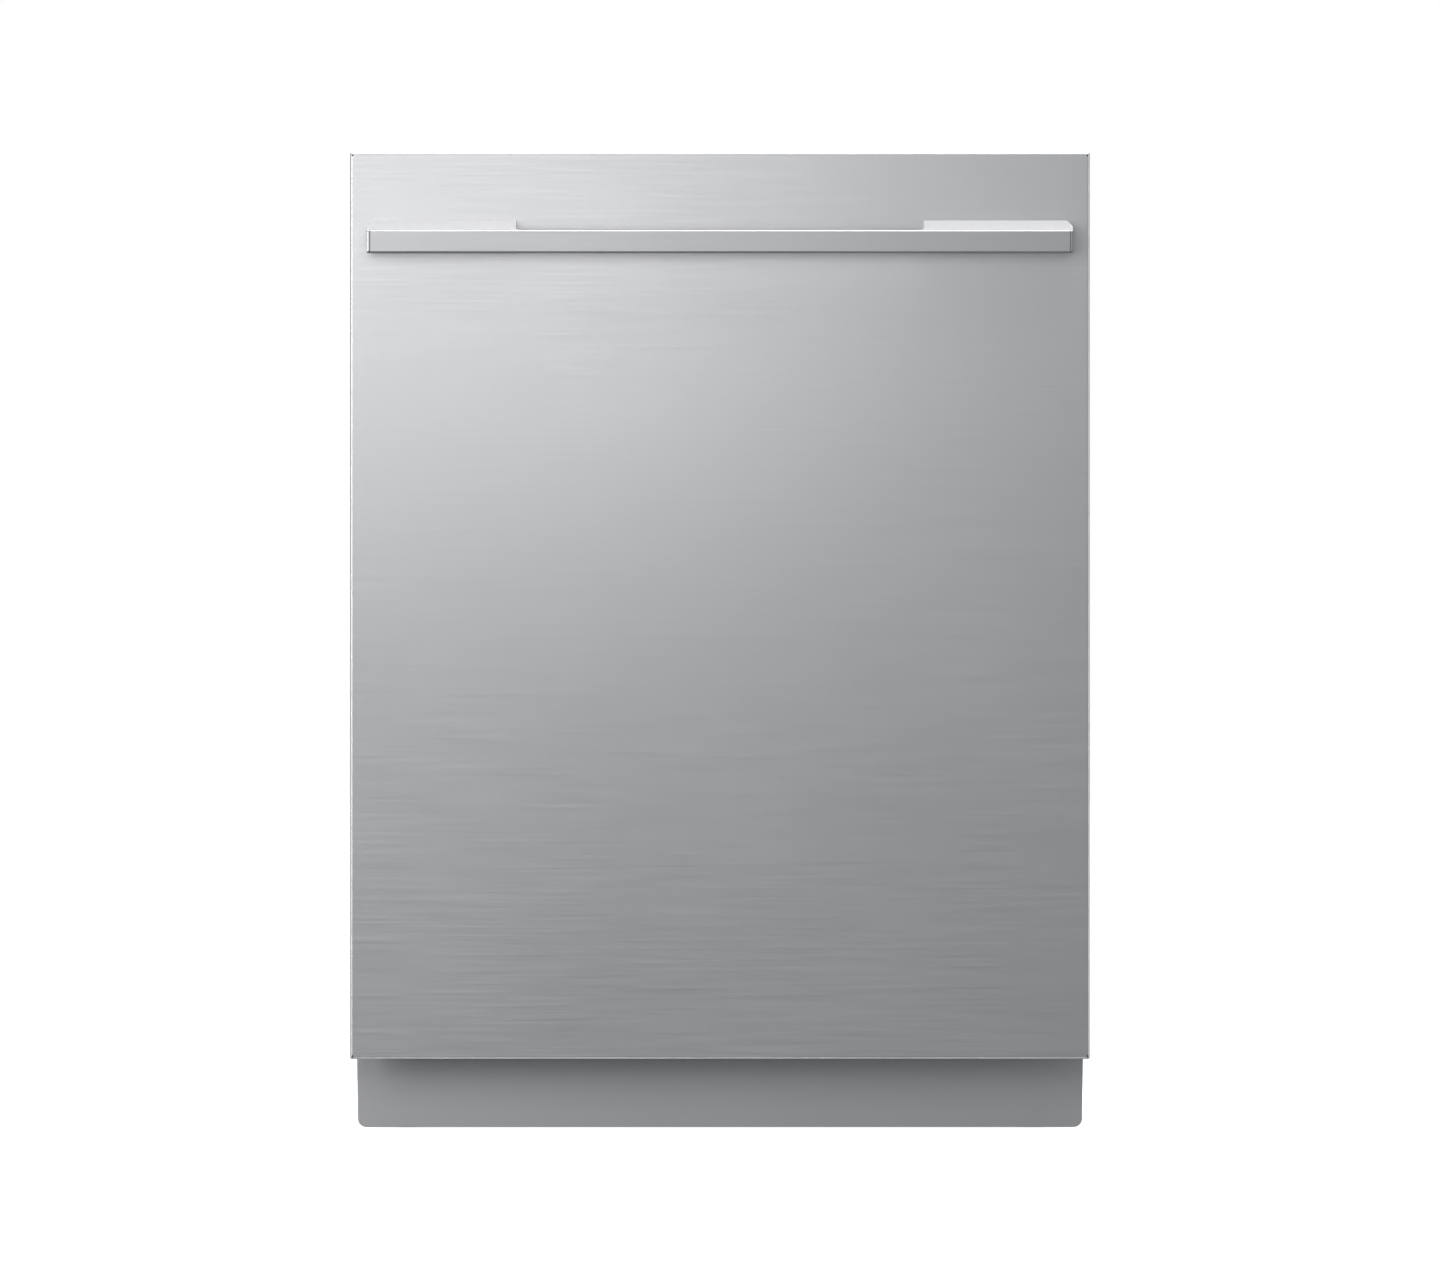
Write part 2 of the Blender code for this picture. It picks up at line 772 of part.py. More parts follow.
def leg(name, x, y):
    """A levelling leg: a threaded rod on a wide foot."""
    profile = [
        (0, CROSSBAR_Z + 0.012),
        (LEG_ROD_RADIUS, CROSSBAR_Z + 0.012),
        (LEG_ROD_RADIUS, FOOT_HEIGHT),
        (FOOT_RADIUS - 0.004, FOOT_HEIGHT),
        (FOOT_RADIUS, FOOT_HEIGHT - 0.004),
        (FOOT_RADIUS, 0),
        (0, 0),
    ]
    return keep(turned(name, profile, (x, y, 0), 20), grey_plastic())


def legs():
    made = []
    for across, side in (("left", -1), ("right", 1)):
        for along, y in (("front", LEG_FRONT), ("rear", LEG_REAR)):
            made.append(leg(f"leg_{along}_{across}", side * LEG_X, y))
    return made


def counterbalance_spring(name, side):
    """The coil spring that carries the door's weight, as a ribbed cylinder with a hook at each end."""
    z = CROSSBAR_Z + 0.022
    y = LEG_FRONT + 0.030
    radius, coils, pitch = 0.0065, 12, 0.009
    profile = [(0, 0)]
    for coil in range(coils):
        profile += [(radius, (coil + 0.15) * pitch), (radius, (coil + 0.75) * pitch)]
        profile += [(radius - 0.0015, (coil + 1.0) * pitch)]
    profile += [(0, coils * pitch + 0.001)]
    spring = turned(f"counterbalance_spring_{name}", profile[::-1], (side * (LEG_X - 0.004), y, z), 12)
    spring.rotation_euler = (-pi / 2, 0, 0)
    return keep(spring, galvanised())


# ---- Tub ----


def tub_wrapper():
    """The tub's sides and roof, one sheet bent round."""
    outline = arch(TUB_HALF, TUB_TOP, TUB_BOTTOM, TUB_WALL, TUB_CORNER)
    return keep(across_y("tub_wrapper", outline, TUB_FRONT, TUB_REAR), tub_steel())


def tub_back():
    radius = TUB_CORNER
    left = arc((radius - TUB_HALF, TUB_TOP - radius), radius, 180, 90)
    right = arc((TUB_HALF - radius, TUB_TOP - radius), radius, 90, 0)
    outline = [(-TUB_HALF, TUB_BOTTOM), *left, *right, (TUB_HALF, TUB_BOTTOM)]
    start = TUB_REAR + CLEARANCE
    return keep(across_y("tub_back", outline, start, start + TUB_WALL), tub_steel())


def tub_floor():
    """The floor: ledges that the lower rack rolls on, round a well with a hole for the filter."""
    front, rear = TUB_FRONT + CLEARANCE, TUB_REAR - CLEARANCE
    shape = bmesh.new()
    bmesh.ops.create_grid(shape, x_segments=1, y_segments=1, size=1)
    bmesh.ops.scale(shape, vec=(PAN_HALF, (rear - front) / 2, 1), verts=shape.verts)
    shape.faces.ensure_lookup_table()
    well = shape.faces[0]
    step = {"faces": [well], "depth": 0, "use_boundary": True, "use_even_offset": True}
    bmesh.ops.inset_region(shape, thickness=PAN_LEDGE, **step)
    end = (rear - front) / 2 - PAN_END_LEDGE
    for vert in well.verts:
        vert.co.y = end if vert.co.y > 0 else -end
    bmesh.ops.inset_region(shape, thickness=PAN_SLOPE, **step)
    bmesh.ops.translate(shape, vec=(0, 0, -PAN_DEPTH), verts=well.verts)
    pan = mesh_object("tub_floor", shape)
    pan.location = (0, (front + rear) / 2, PAN_TOP)
    solid = pan.modifiers.new("wall", "SOLIDIFY")
    solid.thickness = PAN_SHEET
    solid.offset = -1
    solid.use_even_offset = True
    join(pan, cylinder(
        "arm_post", 0.012, (0, ARM_Y, PAN_FLOOR - 0.001), (0, ARM_Y, LOWER_ARM_Z - CLEARANCE), sides=20
    ))
    low, high = (FILTER_X, FILTER_Y, PAN_FLOOR - 0.020), (FILTER_X, FILTER_Y, PAN_FLOOR + 0.020)
    cut(pan, cylinder("sump_hole", SUMP_HOLE_RADIUS, low, high, sides=28))
    return keep(pan, tub_steel())


def tub_gasket():
    """The rubber seal round the tub's mouth, which the closed door's liner presses on."""
    outline = arch(TUB_HALF + 0.0025, TUB_TOP + 0.0025, TUB_BOTTOM, 0.007, TUB_CORNER + 0.0025)
    start = LINER_FACE + CLEARANCE
    return keep(across_y("tub_gasket", outline, start, start + GASKET_DEPTH), rubber())


def insulation_blanket():
    """The felt laid over the tub's sides and roof."""
    grow = CLEARANCE + BLANKET_THICKNESS
    half, top, bottom = TUB_HALF + grow, TUB_TOP + grow, TUB_BOTTOM + 0.015
    outline = arch(half, top, bottom, BLANKET_THICKNESS, TUB_CORNER + grow)
    return keep(across_y("insulation_blanket", outline, TUB_FRONT + 0.043, TUB_REAR), felt())


def sump():
    """The bowl under the filter."""
    top = PAN_FLOOR - PAN_SHEET - CLEARANCE
    profile = [
        (SUMP_HOLE_RADIUS, top),
        (0.072, top),
        (0.072, top - 0.004),
        (0.056, top - 0.008),
        (0.050, top - 0.045),
        (0.030, top - 0.058),
        (0, top - 0.058),
        (0, top - 0.055),
        (0.028, top - 0.055),
        (0.047, top - 0.044),
        (0.048, top - 0.002),
    ]
    bowl = turned("sump", profile + profile[:1], (FILTER_X, FILTER_Y, 0), 28)
    return keep(bowl, grey_plastic())


def filter_cup():
    """The fine filter, which lifts out after a quarter turn of its handle."""
    rim = PAN_FLOOR + CLEARANCE
    top = rim + 0.003
    profile = [
        (0, top),
        (SUMP_HOLE_RADIUS + 0.008, top),
        (SUMP_HOLE_RADIUS + 0.008, rim),
        (0.038, rim),
        (0.036, rim - 0.045),
        (0, rim - 0.045),
    ]
    cup = turned("filter_cup", profile, (FILTER_X, FILTER_Y, 0), 28)
    grip = box(
        "filter_grip",
        (FILTER_X - 0.020, FILTER_Y - 0.003, top - 0.001),
        (FILTER_X + 0.020, FILTER_Y + 0.003, top + 0.010),
    )
    join(cup, grip)
    return keep(cup, grey_plastic())


def circulation_pump():
    """The wash pump, lying beside the sump."""
    y, z = ARM_Y - 0.020, 0.068
    pump = cylinder("circulation_pump", 0.031, (-0.110, y, z), (0.020, y, z), "X", 0.004)
    join(pump, cylinder("pump_end", 0.024, (-0.130, y, z), (-0.100, y, z), "X"))
    return keep(pump, black_plastic())


def drain_pump():
    x, z = FILTER_X + 0.020, 0.060
    front = JUNCTION_Y + JUNCTION_SIZE[1] / 2 + 0.010
    pump = cylinder("drain_pump", 0.022, (x, front, z), (x, front + 0.075, z), "Y", 0.003)
    return keep(pump, black_plastic())


def inlet_valve():
    """The water inlet, with its threaded spout pointing down."""
    x, y = 0.6 * -LEG_X, LEG_REAR - 0.070
    valve = box("inlet_valve", (x - 0.022, y - 0.018, 0.056), (x + 0.022, y + 0.018, 0.092), 0.003)
    join(valve, cylinder("inlet_spout", 0.010, (x, y, 0.040), (x, y, 0.060), sides=16))
    return keep(valve, grey_plastic())


def junction_box():
    """The box for the supply wires, behind the kick plate."""
    place = Vector((JUNCTION_X, JUNCTION_Y, 0.064))
    half = Vector(JUNCTION_SIZE) / 2
    return keep(box("junction_box", place - half, place + half, 0.002), galvanised())


def heating_element():
    """The heater: a rod bent into a ring, with its two ends turned down into the floor."""
    radius = ARM_REACH * 0.78
    z = PAN_FLOOR + 0.013
    ring = [(x, y, z) for x, y in arc((0, ARM_Y), radius, -70, 250, 40)]
    ends = [(ring[0][0], ring[0][1], PAN_FLOOR + 0.001), (ring[-1][0], ring[-1][1], PAN_FLOOR + 0.001)]
    return keep(tube("heating_element", [ends[0], *ring, ends[1]], 0.004), tub_steel())


def supply_duct():
    """The pipe up the tub's back wall and along its roof to the top spray arm."""
    radius = 0.010
    y = TUB_REAR - radius - 0.002
    top = TUB_TOP - TUB_WALL - radius - 0.002
    bend = [(0, y - 0.030 + 0.030 * cos(turn), top - 0.030 + 0.030 * sin(turn))
            for turn in (radians(step * 18) for step in range(6))]
    route = [(0, y, PAN_TOP + 0.002), *bend, (0, ARM_Y - 0.006, top)]
    return keep(tube("supply_duct", route, radius), grey_plastic())


# ---- Racks and spray arms ----


def wire_basket(name, low, high, cells):
    """An open-topped basket of crossed wires; cells are the numbers of spaces along X, Y and Z."""
    inset = WIRE / 2
    low = [value + inset for value in low]
    high = [value - inset for value in high]
    shape, middle = cube_shape(low, high)
    top = [face for face in shape.faces if face.normal.z > 0.9]
    bmesh.ops.delete(shape, geom=top, context="FACES")
    for axis, count in enumerate(cells):
        size = high[axis] - low[axis]
        for step in range(1, count):
            place, way = Vector((0, 0, 0)), Vector((0, 0, 0))
            place[axis] = size * (step / count - 0.5)
            way[axis] = 1
            everything = list(shape.verts) + list(shape.edges) + list(shape.faces)
            bmesh.ops.bisect_plane(shape, geom=everything, plane_co=place, plane_no=way)
    basket = mesh_object(name, shape)
    basket.location = middle
    wires = basket.modifiers.new("wires", "WIREFRAME")
    wires.thickness = WIRE
    wires.use_boundary = True
    wires.use_replace = True
    wires.use_even_offset = True
    return keep(basket, rack_nylon(), smooth=False)


def lower_rack():
    low = (-LOWER_HALF, RACK_FRONT, LOWER_RACK_Z)
    high = (LOWER_HALF, RACK_REAR, LOWER_RACK_Z + LOWER_HEIGHT)
    return wire_basket("lower_rack", low, high, (7, 7, 2))


def upper_rack():
    low = (-UPPER_HALF, RACK_FRONT, UPPER_RACK_Z)
    high = (UPPER_HALF, RACK_REAR, UPPER_RACK_Z + UPPER_HEIGHT)
    return wire_basket("upper_rack", low, high, (7, 7, 2))


def wheel_places():
    for along, y in (("front", PIVOT_Y + FRONT_WHEEL_SETBACK), ("rear", RACK_REAR - 0.040)):
        for across, side in (("left", -1), ("right", 1)):
            yield f"wheel_{along}_{across}", side, y


def wheel(name, side, y):
    """A plastic wheel of the lower rack, which rolls on the tub floor's ledge."""
    low, high = span(side, LOWER_HALF + WHEEL_GAP, LOWER_HALF + WHEEL_GAP + WHEEL_WIDTH)
    piece = cylinder(name, WHEEL_RADIUS, (low, y, WHEEL_Z), (high, y, WHEEL_Z), "X", 0.0015, 24)
    return keep(piece, grey_plastic())


def silverware_basket():
    """The open basket for cutlery that stands at the front of the lower rack."""
    front = RACK_FRONT + 0.020
    basket = shell(
        "silverware_basket",
        (-0.150, front, LOWER_RACK_Z + WIRE + CLEARANCE),
        (0.150, front + 0.075, LOWER_RACK_Z + WIRE + 0.110),
        0.002,
        (0, 0, 1),
        0.006,
    )
    return keep(basket, grey_plastic())


def upper_rail(name, side):
    """The channel on the tub's wall that the upper rack's runner slides in."""
    outer = TUB_HALF - TUB_WALL - CLEARANCE
    web, lip = outer - RAIL_SHEET, outer - RAIL_LIP
    bottom, top = RAIL_Z - RAIL_HALF, RAIL_Z + RAIL_HALF
    outline = [
        (lip, bottom),
        (outer, bottom),
        (outer, top),
        (lip, top),
        (lip, top - RAIL_SHEET),
        (web, top - RAIL_SHEET),
        (web, bottom + RAIL_SHEET),
        (lip, bottom + RAIL_SHEET),
    ]
    if side < 0:
        outline = [(-x, up) for x, up in outline]
    return keep(across_y(f"upper_rail_{name}", outline, RACK_FRONT - 0.006, RACK_REAR), galvanised())


def upper_runner(name, side):
    """The bar that telescopes in the rail, half as far as the upper rack goes."""
    outer = TUB_HALF - TUB_WALL - CLEARANCE
    low, high = span(side, outer - RAIL_LIP + 0.0005, outer - RAIL_SHEET - 0.002)
    half = RAIL_HALF - RAIL_SHEET - 0.0015
    piece = box(
        f"upper_runner_{name}",
        (low, RACK_FRONT - 0.004, RAIL_Z - half),
        (high, RACK_REAR - 0.002, RAIL_Z + half),
        0.001,
    )
    return keep(piece, stainless())


def spray_arm(name, y, bottom, reach):
    """A flat arm with rounded, slightly swept ends on a round hub."""
    end = ARM_WIDTH / 3
    right = arc((reach - end, y), end, -90, 90, 6)
    left = arc((end - reach, y), end, 90, 270, 6)
    waist = ARM_WIDTH / 2
    outline = [(waist, y - waist), *right, (waist, y + waist)]
    outline += [(-waist, y + waist), *left, (-waist, y - waist)]
    arm = as_mesh(across_z(name, outline, bottom + 0.002, bottom + ARM_THICKNESS - 0.002))
    hub = cylinder("arm_hub", waist - 0.004, (0, y, bottom), (0, y, bottom + ARM_THICKNESS))
    join(arm, hub)
    return keep(arm, grey_plastic())


def build():
    global parts, cutters
    clear_scene()
    parts = new_collection("built_in_dishwasher")
    cutters = new_collection("cutters")

    door = [door_panel(), door_liner(), door_insulation(), control_panel()]
    door += [handle_bar(), dispenser_body()]
    door += both_sides(handle_bracket)
    door += both_sides(hinge_arm)
    door += buttons()
    door += [latch_claw(), detergent_lid(), rinse_aid_cap()]
    hang(door, axis_empty("door_hinge_axis", (0, PIVOT_Y, PIVOT_Z)))

    both_sides(hinge_bracket)
    kick_plate()
    base_tray()
    both_sides(side_frame)
    crossbar("front_crossbar", LEG_FRONT)
    crossbar("rear_crossbar", LEG_REAR)
    top_crossbar()
    both_sides(countertop_bracket)
    legs()
    both_sides(counterbalance_spring)

    tub_wrapper()
    tub_back()
    tub_floor()
    tub_gasket()
    insulation_blanket()
    sump()
    filter_cup()
    circulation_pump()
    drain_pump()
    inlet_valve()
    junction_box()
    heating_element()
    supply_duct()

    upper = [upper_rack(), spray_arm("middle_spray_arm", ARM_Y, MID_ARM_Z, ARM_REACH)]
    hang(upper, axis_empty("upper_rack_travel", (0, RACK_FRONT, UPPER_RACK_Z)))
    both_sides(upper_rail)
    both_sides(upper_runner)
    lower = [lower_rack(), silverware_basket()] + [wheel(*place) for place in wheel_places()]
    hang(lower, axis_empty("lower_rack_travel", (0, RACK_FRONT, LOWER_RACK_Z)))
    spray_arm("lower_spray_arm", ARM_Y, LOWER_ARM_Z, ARM_REACH)
    top_arm = TUB_TOP - TUB_WALL - 0.024 - CLEARANCE - ARM_THICKNESS
    spray_arm("top_spray_arm", ARM_Y, top_arm, ARM_REACH * 0.5)


build()
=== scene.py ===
"""Built-in dishwasher: detailed pieces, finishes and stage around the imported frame."""

import json
from math import pi, radians, tau

import bmesh
import bpy
import numpy as np
from bpy.props import FloatProperty, FloatVectorProperty, IntProperty, PointerProperty
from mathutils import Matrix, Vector


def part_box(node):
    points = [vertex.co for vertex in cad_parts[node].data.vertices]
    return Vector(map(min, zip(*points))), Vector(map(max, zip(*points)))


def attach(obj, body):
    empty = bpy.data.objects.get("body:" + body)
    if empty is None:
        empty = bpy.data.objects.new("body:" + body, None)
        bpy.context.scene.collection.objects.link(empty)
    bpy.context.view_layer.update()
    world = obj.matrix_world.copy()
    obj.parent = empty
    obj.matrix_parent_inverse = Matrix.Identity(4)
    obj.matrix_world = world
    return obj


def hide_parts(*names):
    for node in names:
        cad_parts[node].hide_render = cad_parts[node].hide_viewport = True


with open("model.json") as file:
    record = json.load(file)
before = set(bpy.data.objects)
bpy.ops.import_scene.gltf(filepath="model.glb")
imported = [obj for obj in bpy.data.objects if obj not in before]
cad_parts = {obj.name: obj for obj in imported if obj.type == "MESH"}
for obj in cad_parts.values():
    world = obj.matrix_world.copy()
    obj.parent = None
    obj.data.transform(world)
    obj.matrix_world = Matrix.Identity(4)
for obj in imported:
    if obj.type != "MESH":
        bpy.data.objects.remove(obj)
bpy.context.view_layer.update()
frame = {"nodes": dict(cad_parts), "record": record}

bl_info = {
    "name": "Built-In Dishwasher",
    "version": (1, 0, 0),
    "blender": (4, 5, 0),
    "location": "3D View > Sidebar > Dishwasher",
    "description": "Makes the door, handle, racks, tub and base of a built-in dishwasher",
    "category": "Object",
}

MM = 0.001
UP = (0, 0, 1)
SIDES = (("left", -1), ("right", 1))
HINGE_AXIS = np.array((-0.268, 0.0922))  # the door's hinge, as y and z
LEDGE_TOP = 0.1267  # the ledge of the tub's floor, which the lower rack rolls on
WELL_FLOOR = 0.1067  # the lowest level of the tub's floor


# ---- Sizes and colours that a user would change ----


def linear(code):
    """A six-digit sRGB hex colour as three linear values."""
    values = np.array([int(code[place : place + 2], 16) for place in (1, 3, 5)]) / 255
    return tuple(np.where(values <= 0.04045, values / 12.92, ((values + 0.055) / 1.055) ** 2.4))


def length(name, description, default):
    return FloatProperty(name=name, description=description, default=default, unit="LENGTH", precision=4)


def colour(name, description, code):
    return FloatVectorProperty(name=name, description=description, default=linear(code), subtype="COLOR")


class DoorSizes(bpy.types.PropertyGroup):
    fold: length("Fold Radius", "Radius of the folds round the outer skin", 1.8 * MM)
    sheet: length("Sheet", "Thickness of the door's sheets", 0.8 * MM)
    side_return: length("Side Return", "Depth of the outer skin's folded sides", 24 * MM)
    top_return: length("Top Return", "Depth of the lip folded along the top and the bottom", 10 * MM)
    bar_edge: length("Bar Edge", "Radius of the handle bar's long edges", 1.7 * MM)
    cap: length("End Cap", "Thickness of the caps that close the bar", 2.2 * MM)
    fillet: length("Bracket Fillet", "Radius where a bracket flares into the bar", 6.0 * MM)


class RackSizes(bpy.types.PropertyGroup):
    rim: length("Rim Wire", "Diameter of the wire round a rack's top", 5.0 * MM)
    wire: length("Wire", "Diameter of the wires that make a rack's floor and walls", 3.6 * MM)
    tine: length("Tine Wire", "Diameter of the tines", 3.2 * MM)
    pitch: length("Tine Pitch", "Distance between tines in a row", 32 * MM)
    tine_height: length("Tine Height", "Height of the plate tines above the rack's floor", 84 * MM)
    rows: IntProperty(name="Tine Rows", description="Rows of tines in the lower rack", default=5)


class Finishes(bpy.types.PropertyGroup):
    steel: colour("Brushed Steel", "Colour of the brushed stainless steel", "#C6C6C7")
    tub: colour("Tub Steel", "Colour of the tub's bright stainless steel", "#C4C5C8")
    zinc: colour("Zinc", "Colour of the galvanised sheet", "#A6ABAF")
    kick: colour("Kick Paint", "Colour of the kick plate's satin coat", "#C4C4C5")
    nylon: colour("Rack Nylon", "Colour of the racks' nylon coat", "#83888F")
    grey: colour("Grey Plastic", "Colour of the moulded grey parts", "#8F959C")
    grain: length("Grain", "Height of one brush line, drawn coarse enough to show", 0.9 * MM)


class Dishwasher(bpy.types.PropertyGroup):
    door: PointerProperty(type=DoorSizes)
    rack: PointerProperty(type=RackSizes)
    finish: PointerProperty(type=Finishes)


# ---- Surfaces ----
# A shape is (points, faces): an n x 3 array and a list of rows of point numbers.


def box_of(node):
    """A frame node's lowest and highest corners, as arrays."""
    low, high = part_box(node)
    return np.array(low), np.array(high)


def span_of(node):
    """A frame node's lowest and highest corners, its middle and half its size, as arrays."""
    low, high = box_of(node)
    return low, high, (low + high) / 2, (high - low) / 2


def grid_faces(rows, columns, close_rows=False, close_columns=False):
    """Quads over a grid of rows x columns points, joined round where asked."""
    row = np.arange(rows if close_rows else rows - 1)
    column = np.arange(columns if close_columns else columns - 1)
    a, b = np.meshgrid(row, column, indexing="ij")
    c, d = (a + 1) % rows, (b + 1) % columns
    return np.stack([a * columns + b, c * columns + b, c * columns + d, a * columns + d], -1).reshape(-1, 4)


def loft(loops, caps=True, closed=False):
    """A skin over closed loops, given as rings x points x 3, with a flat face on each end."""
    rings, count = loops.shape[:2]
    faces = grid_faces(rings, count, closed, True).tolist()
    if caps and not closed:
        faces.append(list(range(count))[::-1])
        faces.append(list(range((rings - 1) * count, rings * count)))
    return loops.reshape(-1, 3), faces


def joined(*shapes):
    """Several shapes as one, with the point numbers moved on."""
    points, faces, start = [], [], 0
    for these, rows in shapes:
        points.append(these)
        faces += [[start + index for index in row] for row in rows]
        start += len(these)
    return np.concatenate(points), faces


def moved(shape, by):
    return shape[0] + np.asarray(by), shape[1]


def flipped(shape):
    """The same shape with its faces turned to the other side."""
    return shape[0], [row[::-1] for row in shape[1]]


def mirrored(shape):
    """The same shape on the other side of the middle plane x = 0."""
    return flipped((shape[0] * (-1, 1, 1), shape[1]))


def rounded_loop(half_x, half_y, radius, steps=4):
    """A rectangle with rounded corners, anticlockwise, as n x 2: corner centre + radius x (cos, sin)."""
    turn = np.linspace(0, pi / 2, steps + 1)
    centres = np.array([(1, 1), (-1, 1), (-1, -1), (1, -1)]) * (half_x - radius, half_y - radius)
    angles = turn[None] + np.arange(4)[:, None] * pi / 2
    around = radius * np.stack([np.cos(angles), np.sin(angles)], -1)
    return (centres[:, None] + around).reshape(-1, 2)


def at_height(loop, z):
    """An n x 2 loop as n x 3 points, level at z."""
    return np.column_stack([loop, np.full(len(loop), z)])


def circle_loop(radius, sides):
    turn = np.arange(sides) * tau / sides
    return radius * np.stack([np.cos(turn), np.sin(turn)], -1)


def bent(points, radius, steps=5):
    """A run of points with each inner corner swapped for a curve from tangent point to tangent point, with
    the corner as the middle control point of a quadratic."""
    points = np.asarray(points, float)
    out = [points[:1]]
    way = np.linspace(0, 1, steps + 1)[:, None]
    for before, corner, after in zip(points, points[1:], points[2:]):
        back, on = before - corner, after - corner
        reach = min(radius, np.linalg.norm(back) / 2, np.linalg.norm(on) / 2)
        start = corner + back / np.linalg.norm(back) * reach
        end = corner + on / np.linalg.norm(on) * reach
        out.append((1 - way) ** 2 * start + 2 * way * (1 - way) * corner + way**2 * end)
    out.append(points[-1:])
    return np.concatenate(out)


def sweep(profile, path, up, closed=False):
    """A closed profile of (side, up) points carried along a path that lies across the up direction:
    point = path + side x (tangent x up) + up x up."""
    path = np.asarray(path, float)
    if closed:
        tangent = np.roll(path, -1, 0) - np.roll(path, 1, 0)
    else:
        tangent = np.gradient(path, axis=0)
    tangent /= np.linalg.norm(tangent, axis=1, keepdims=True)
    side = np.cross(tangent, np.asarray(up, float))
    side /= np.linalg.norm(side, axis=1, keepdims=True)
    over = np.cross(side, tangent)
    loops = path[:, None] + profile[None, :, :1] * side[:, None] + profile[None, :, 1:] * over[:, None]
    return loft(loops, closed=closed)


def rod(path, diameter, up, sides=8, closed=False):
    return sweep(circle_loop(diameter / 2, sides), path, up, closed)


def turned(profile, place=(0, 0, 0), axis="Z", sides=32):
    """A profile of (radius, height) points turned about an axis: (radius cos a, radius sin a, height)."""
    profile = np.asarray(profile, float)
    turn = np.arange(sides) * tau / sides
    around = np.stack([np.cos(turn), np.sin(turn), np.zeros(sides)], -1)
    loops = profile[:, None, :1] * around[None] + profile[:, None, 1:] * (0, 0, 1)
    order = {"Z": (0, 1, 2), "X": (2, 0, 1), "Y": (1, 2, 0)}[axis]
    points, faces = loft(loops)
    return points[:, order] + np.asarray(place), faces


def slab(outline, low, high, plane="XY"):
    """A flat outline carried from low to high along the axis that its plane lacks."""
    outline = np.asarray(outline, float)
    order = {"XY": (0, 1, 2), "XZ": (0, 2, 1), "YZ": (2, 0, 1)}[plane]
    rings = [at_height(outline, value) for value in (low, high)]
    points, faces = loft(np.stack(rings))
    return points[:, order], faces


def block(low, high, radius=0.0, plane="XY", steps=3):
    """A box with its corners rounded in one plane."""
    low, high = np.asarray(low, float), np.asarray(high, float)
    first, second, along = {"XY": (0, 1, 2), "XZ": (0, 2, 1), "YZ": (1, 2, 0)}[plane]
    middle, half = (low + high) / 2, (high - low) / 2
    outline = rounded_loop(half[first], half[second], max(radius, 0.01 * MM), steps)
    return slab(outline + middle[[first, second]], low[along], high[along], plane)


def arch_loop(half, top, bottom, radius, steps=12):
    """An open upside-down U as n x 2: up one side, a quarter circle, across, a quarter circle, down."""
    turn = np.linspace(0, pi / 2, steps + 1)
    right = np.stack([half - radius + radius * np.cos(turn), top - radius + radius * np.sin(turn)], -1)
    left = right[::-1] * (-1, 1)
    return np.concatenate([[(half, bottom)], right, left, [(-half, bottom)]])


def even_arch(half, top, bottom, corner, side_step, roof_step, turn):
    """An upside-down U as n x 2 points, even along its flats and at the given turns round its corners, and
    the outward direction at each point."""
    side = even(bottom, top - corner, side_step)
    roof = even(corner - half, half - corner, roof_step)[::-1]
    way = np.stack([np.cos(turn), np.sin(turn)], -1)
    right = (half - corner, top - corner) + corner * way
    outline = [np.column_stack([np.full(len(side), half), side]), right,
               np.column_stack([roof, np.full(len(roof), top)]), right[::-1] * (-1, 1),
               np.column_stack([np.full(len(side), -half), side[::-1]])]
    normal = [np.tile((1.0, 0.0), (len(side), 1)), way, np.tile((0.0, 1.0), (len(roof), 1)),
              way[::-1] * (-1, 1), np.tile((-1.0, 0.0), (len(side), 1))]
    return np.concatenate(outline), np.concatenate(normal)


def set_in(outline, normal, y, depth):
    """A grid along y over an (x, z) outline: outline - depth x normal."""
    flat = outline - depth[..., None] * normal
    return np.stack([flat[..., 0], y, flat[..., 1]], -1)


def smooth_step(value, low, high):
    """0 below low, 1 above high, and 3t^2 - 2t^3 between."""
    part = np.clip((value - low) / (high - low), 0, 1)
    return part * part * (3 - 2 * part)


def even(low, high, step):
    """Evenly spaced values from low to high, about one step apart, both ends included."""
    return np.linspace(low, high, max(2, int(round((high - low) / step)) + 1))


def pan_grid(half, fold, depth, lines, relief):
    """A sheet drawn down all round: over (x, z), y rises from 0 as fold - sqrt(fold^2 - r^2), where r is
    how far a point lies past the flat, and its outermost ring drops straight down to depth. relief(x, z)
    adds to y."""
    across = [np.concatenate([[-size], lines_of, [size]]) for size, lines_of in zip(half, lines)]
    x, z = np.meshgrid(*across, indexing="ij")
    flat = np.array(half) - fold
    over_x = np.sign(x) * np.maximum(np.abs(x) - flat[0], 0)
    over_z = np.sign(z) * np.maximum(np.abs(z) - flat[1], 0)
    past = np.hypot(over_x, over_z)
    pull = np.where(past > fold, fold / np.maximum(past, 1e-9), 1)
    x, z = x - over_x * (1 - pull), z - over_z * (1 - pull)
    past = np.minimum(past, fold)
    y = fold - np.sqrt(np.maximum(fold**2 - past**2, 0)) + relief(x, z)
    edge = np.zeros(x.shape, bool)
    edge[[0, -1]] = edge[:, [0, -1]] = True
    y[edge] = depth
    return np.stack([x, y, z], -1)


def fold_lines(half, fold, inner, steps=5):
    """Grid lines for pan_grid: close together over each fold, and the given ones between."""
    turn = np.linspace(0, pi / 2, steps + 1)
    arc = half - fold + fold * np.sin(turn)
    return np.concatenate([-arc[::-1], inner, arc])


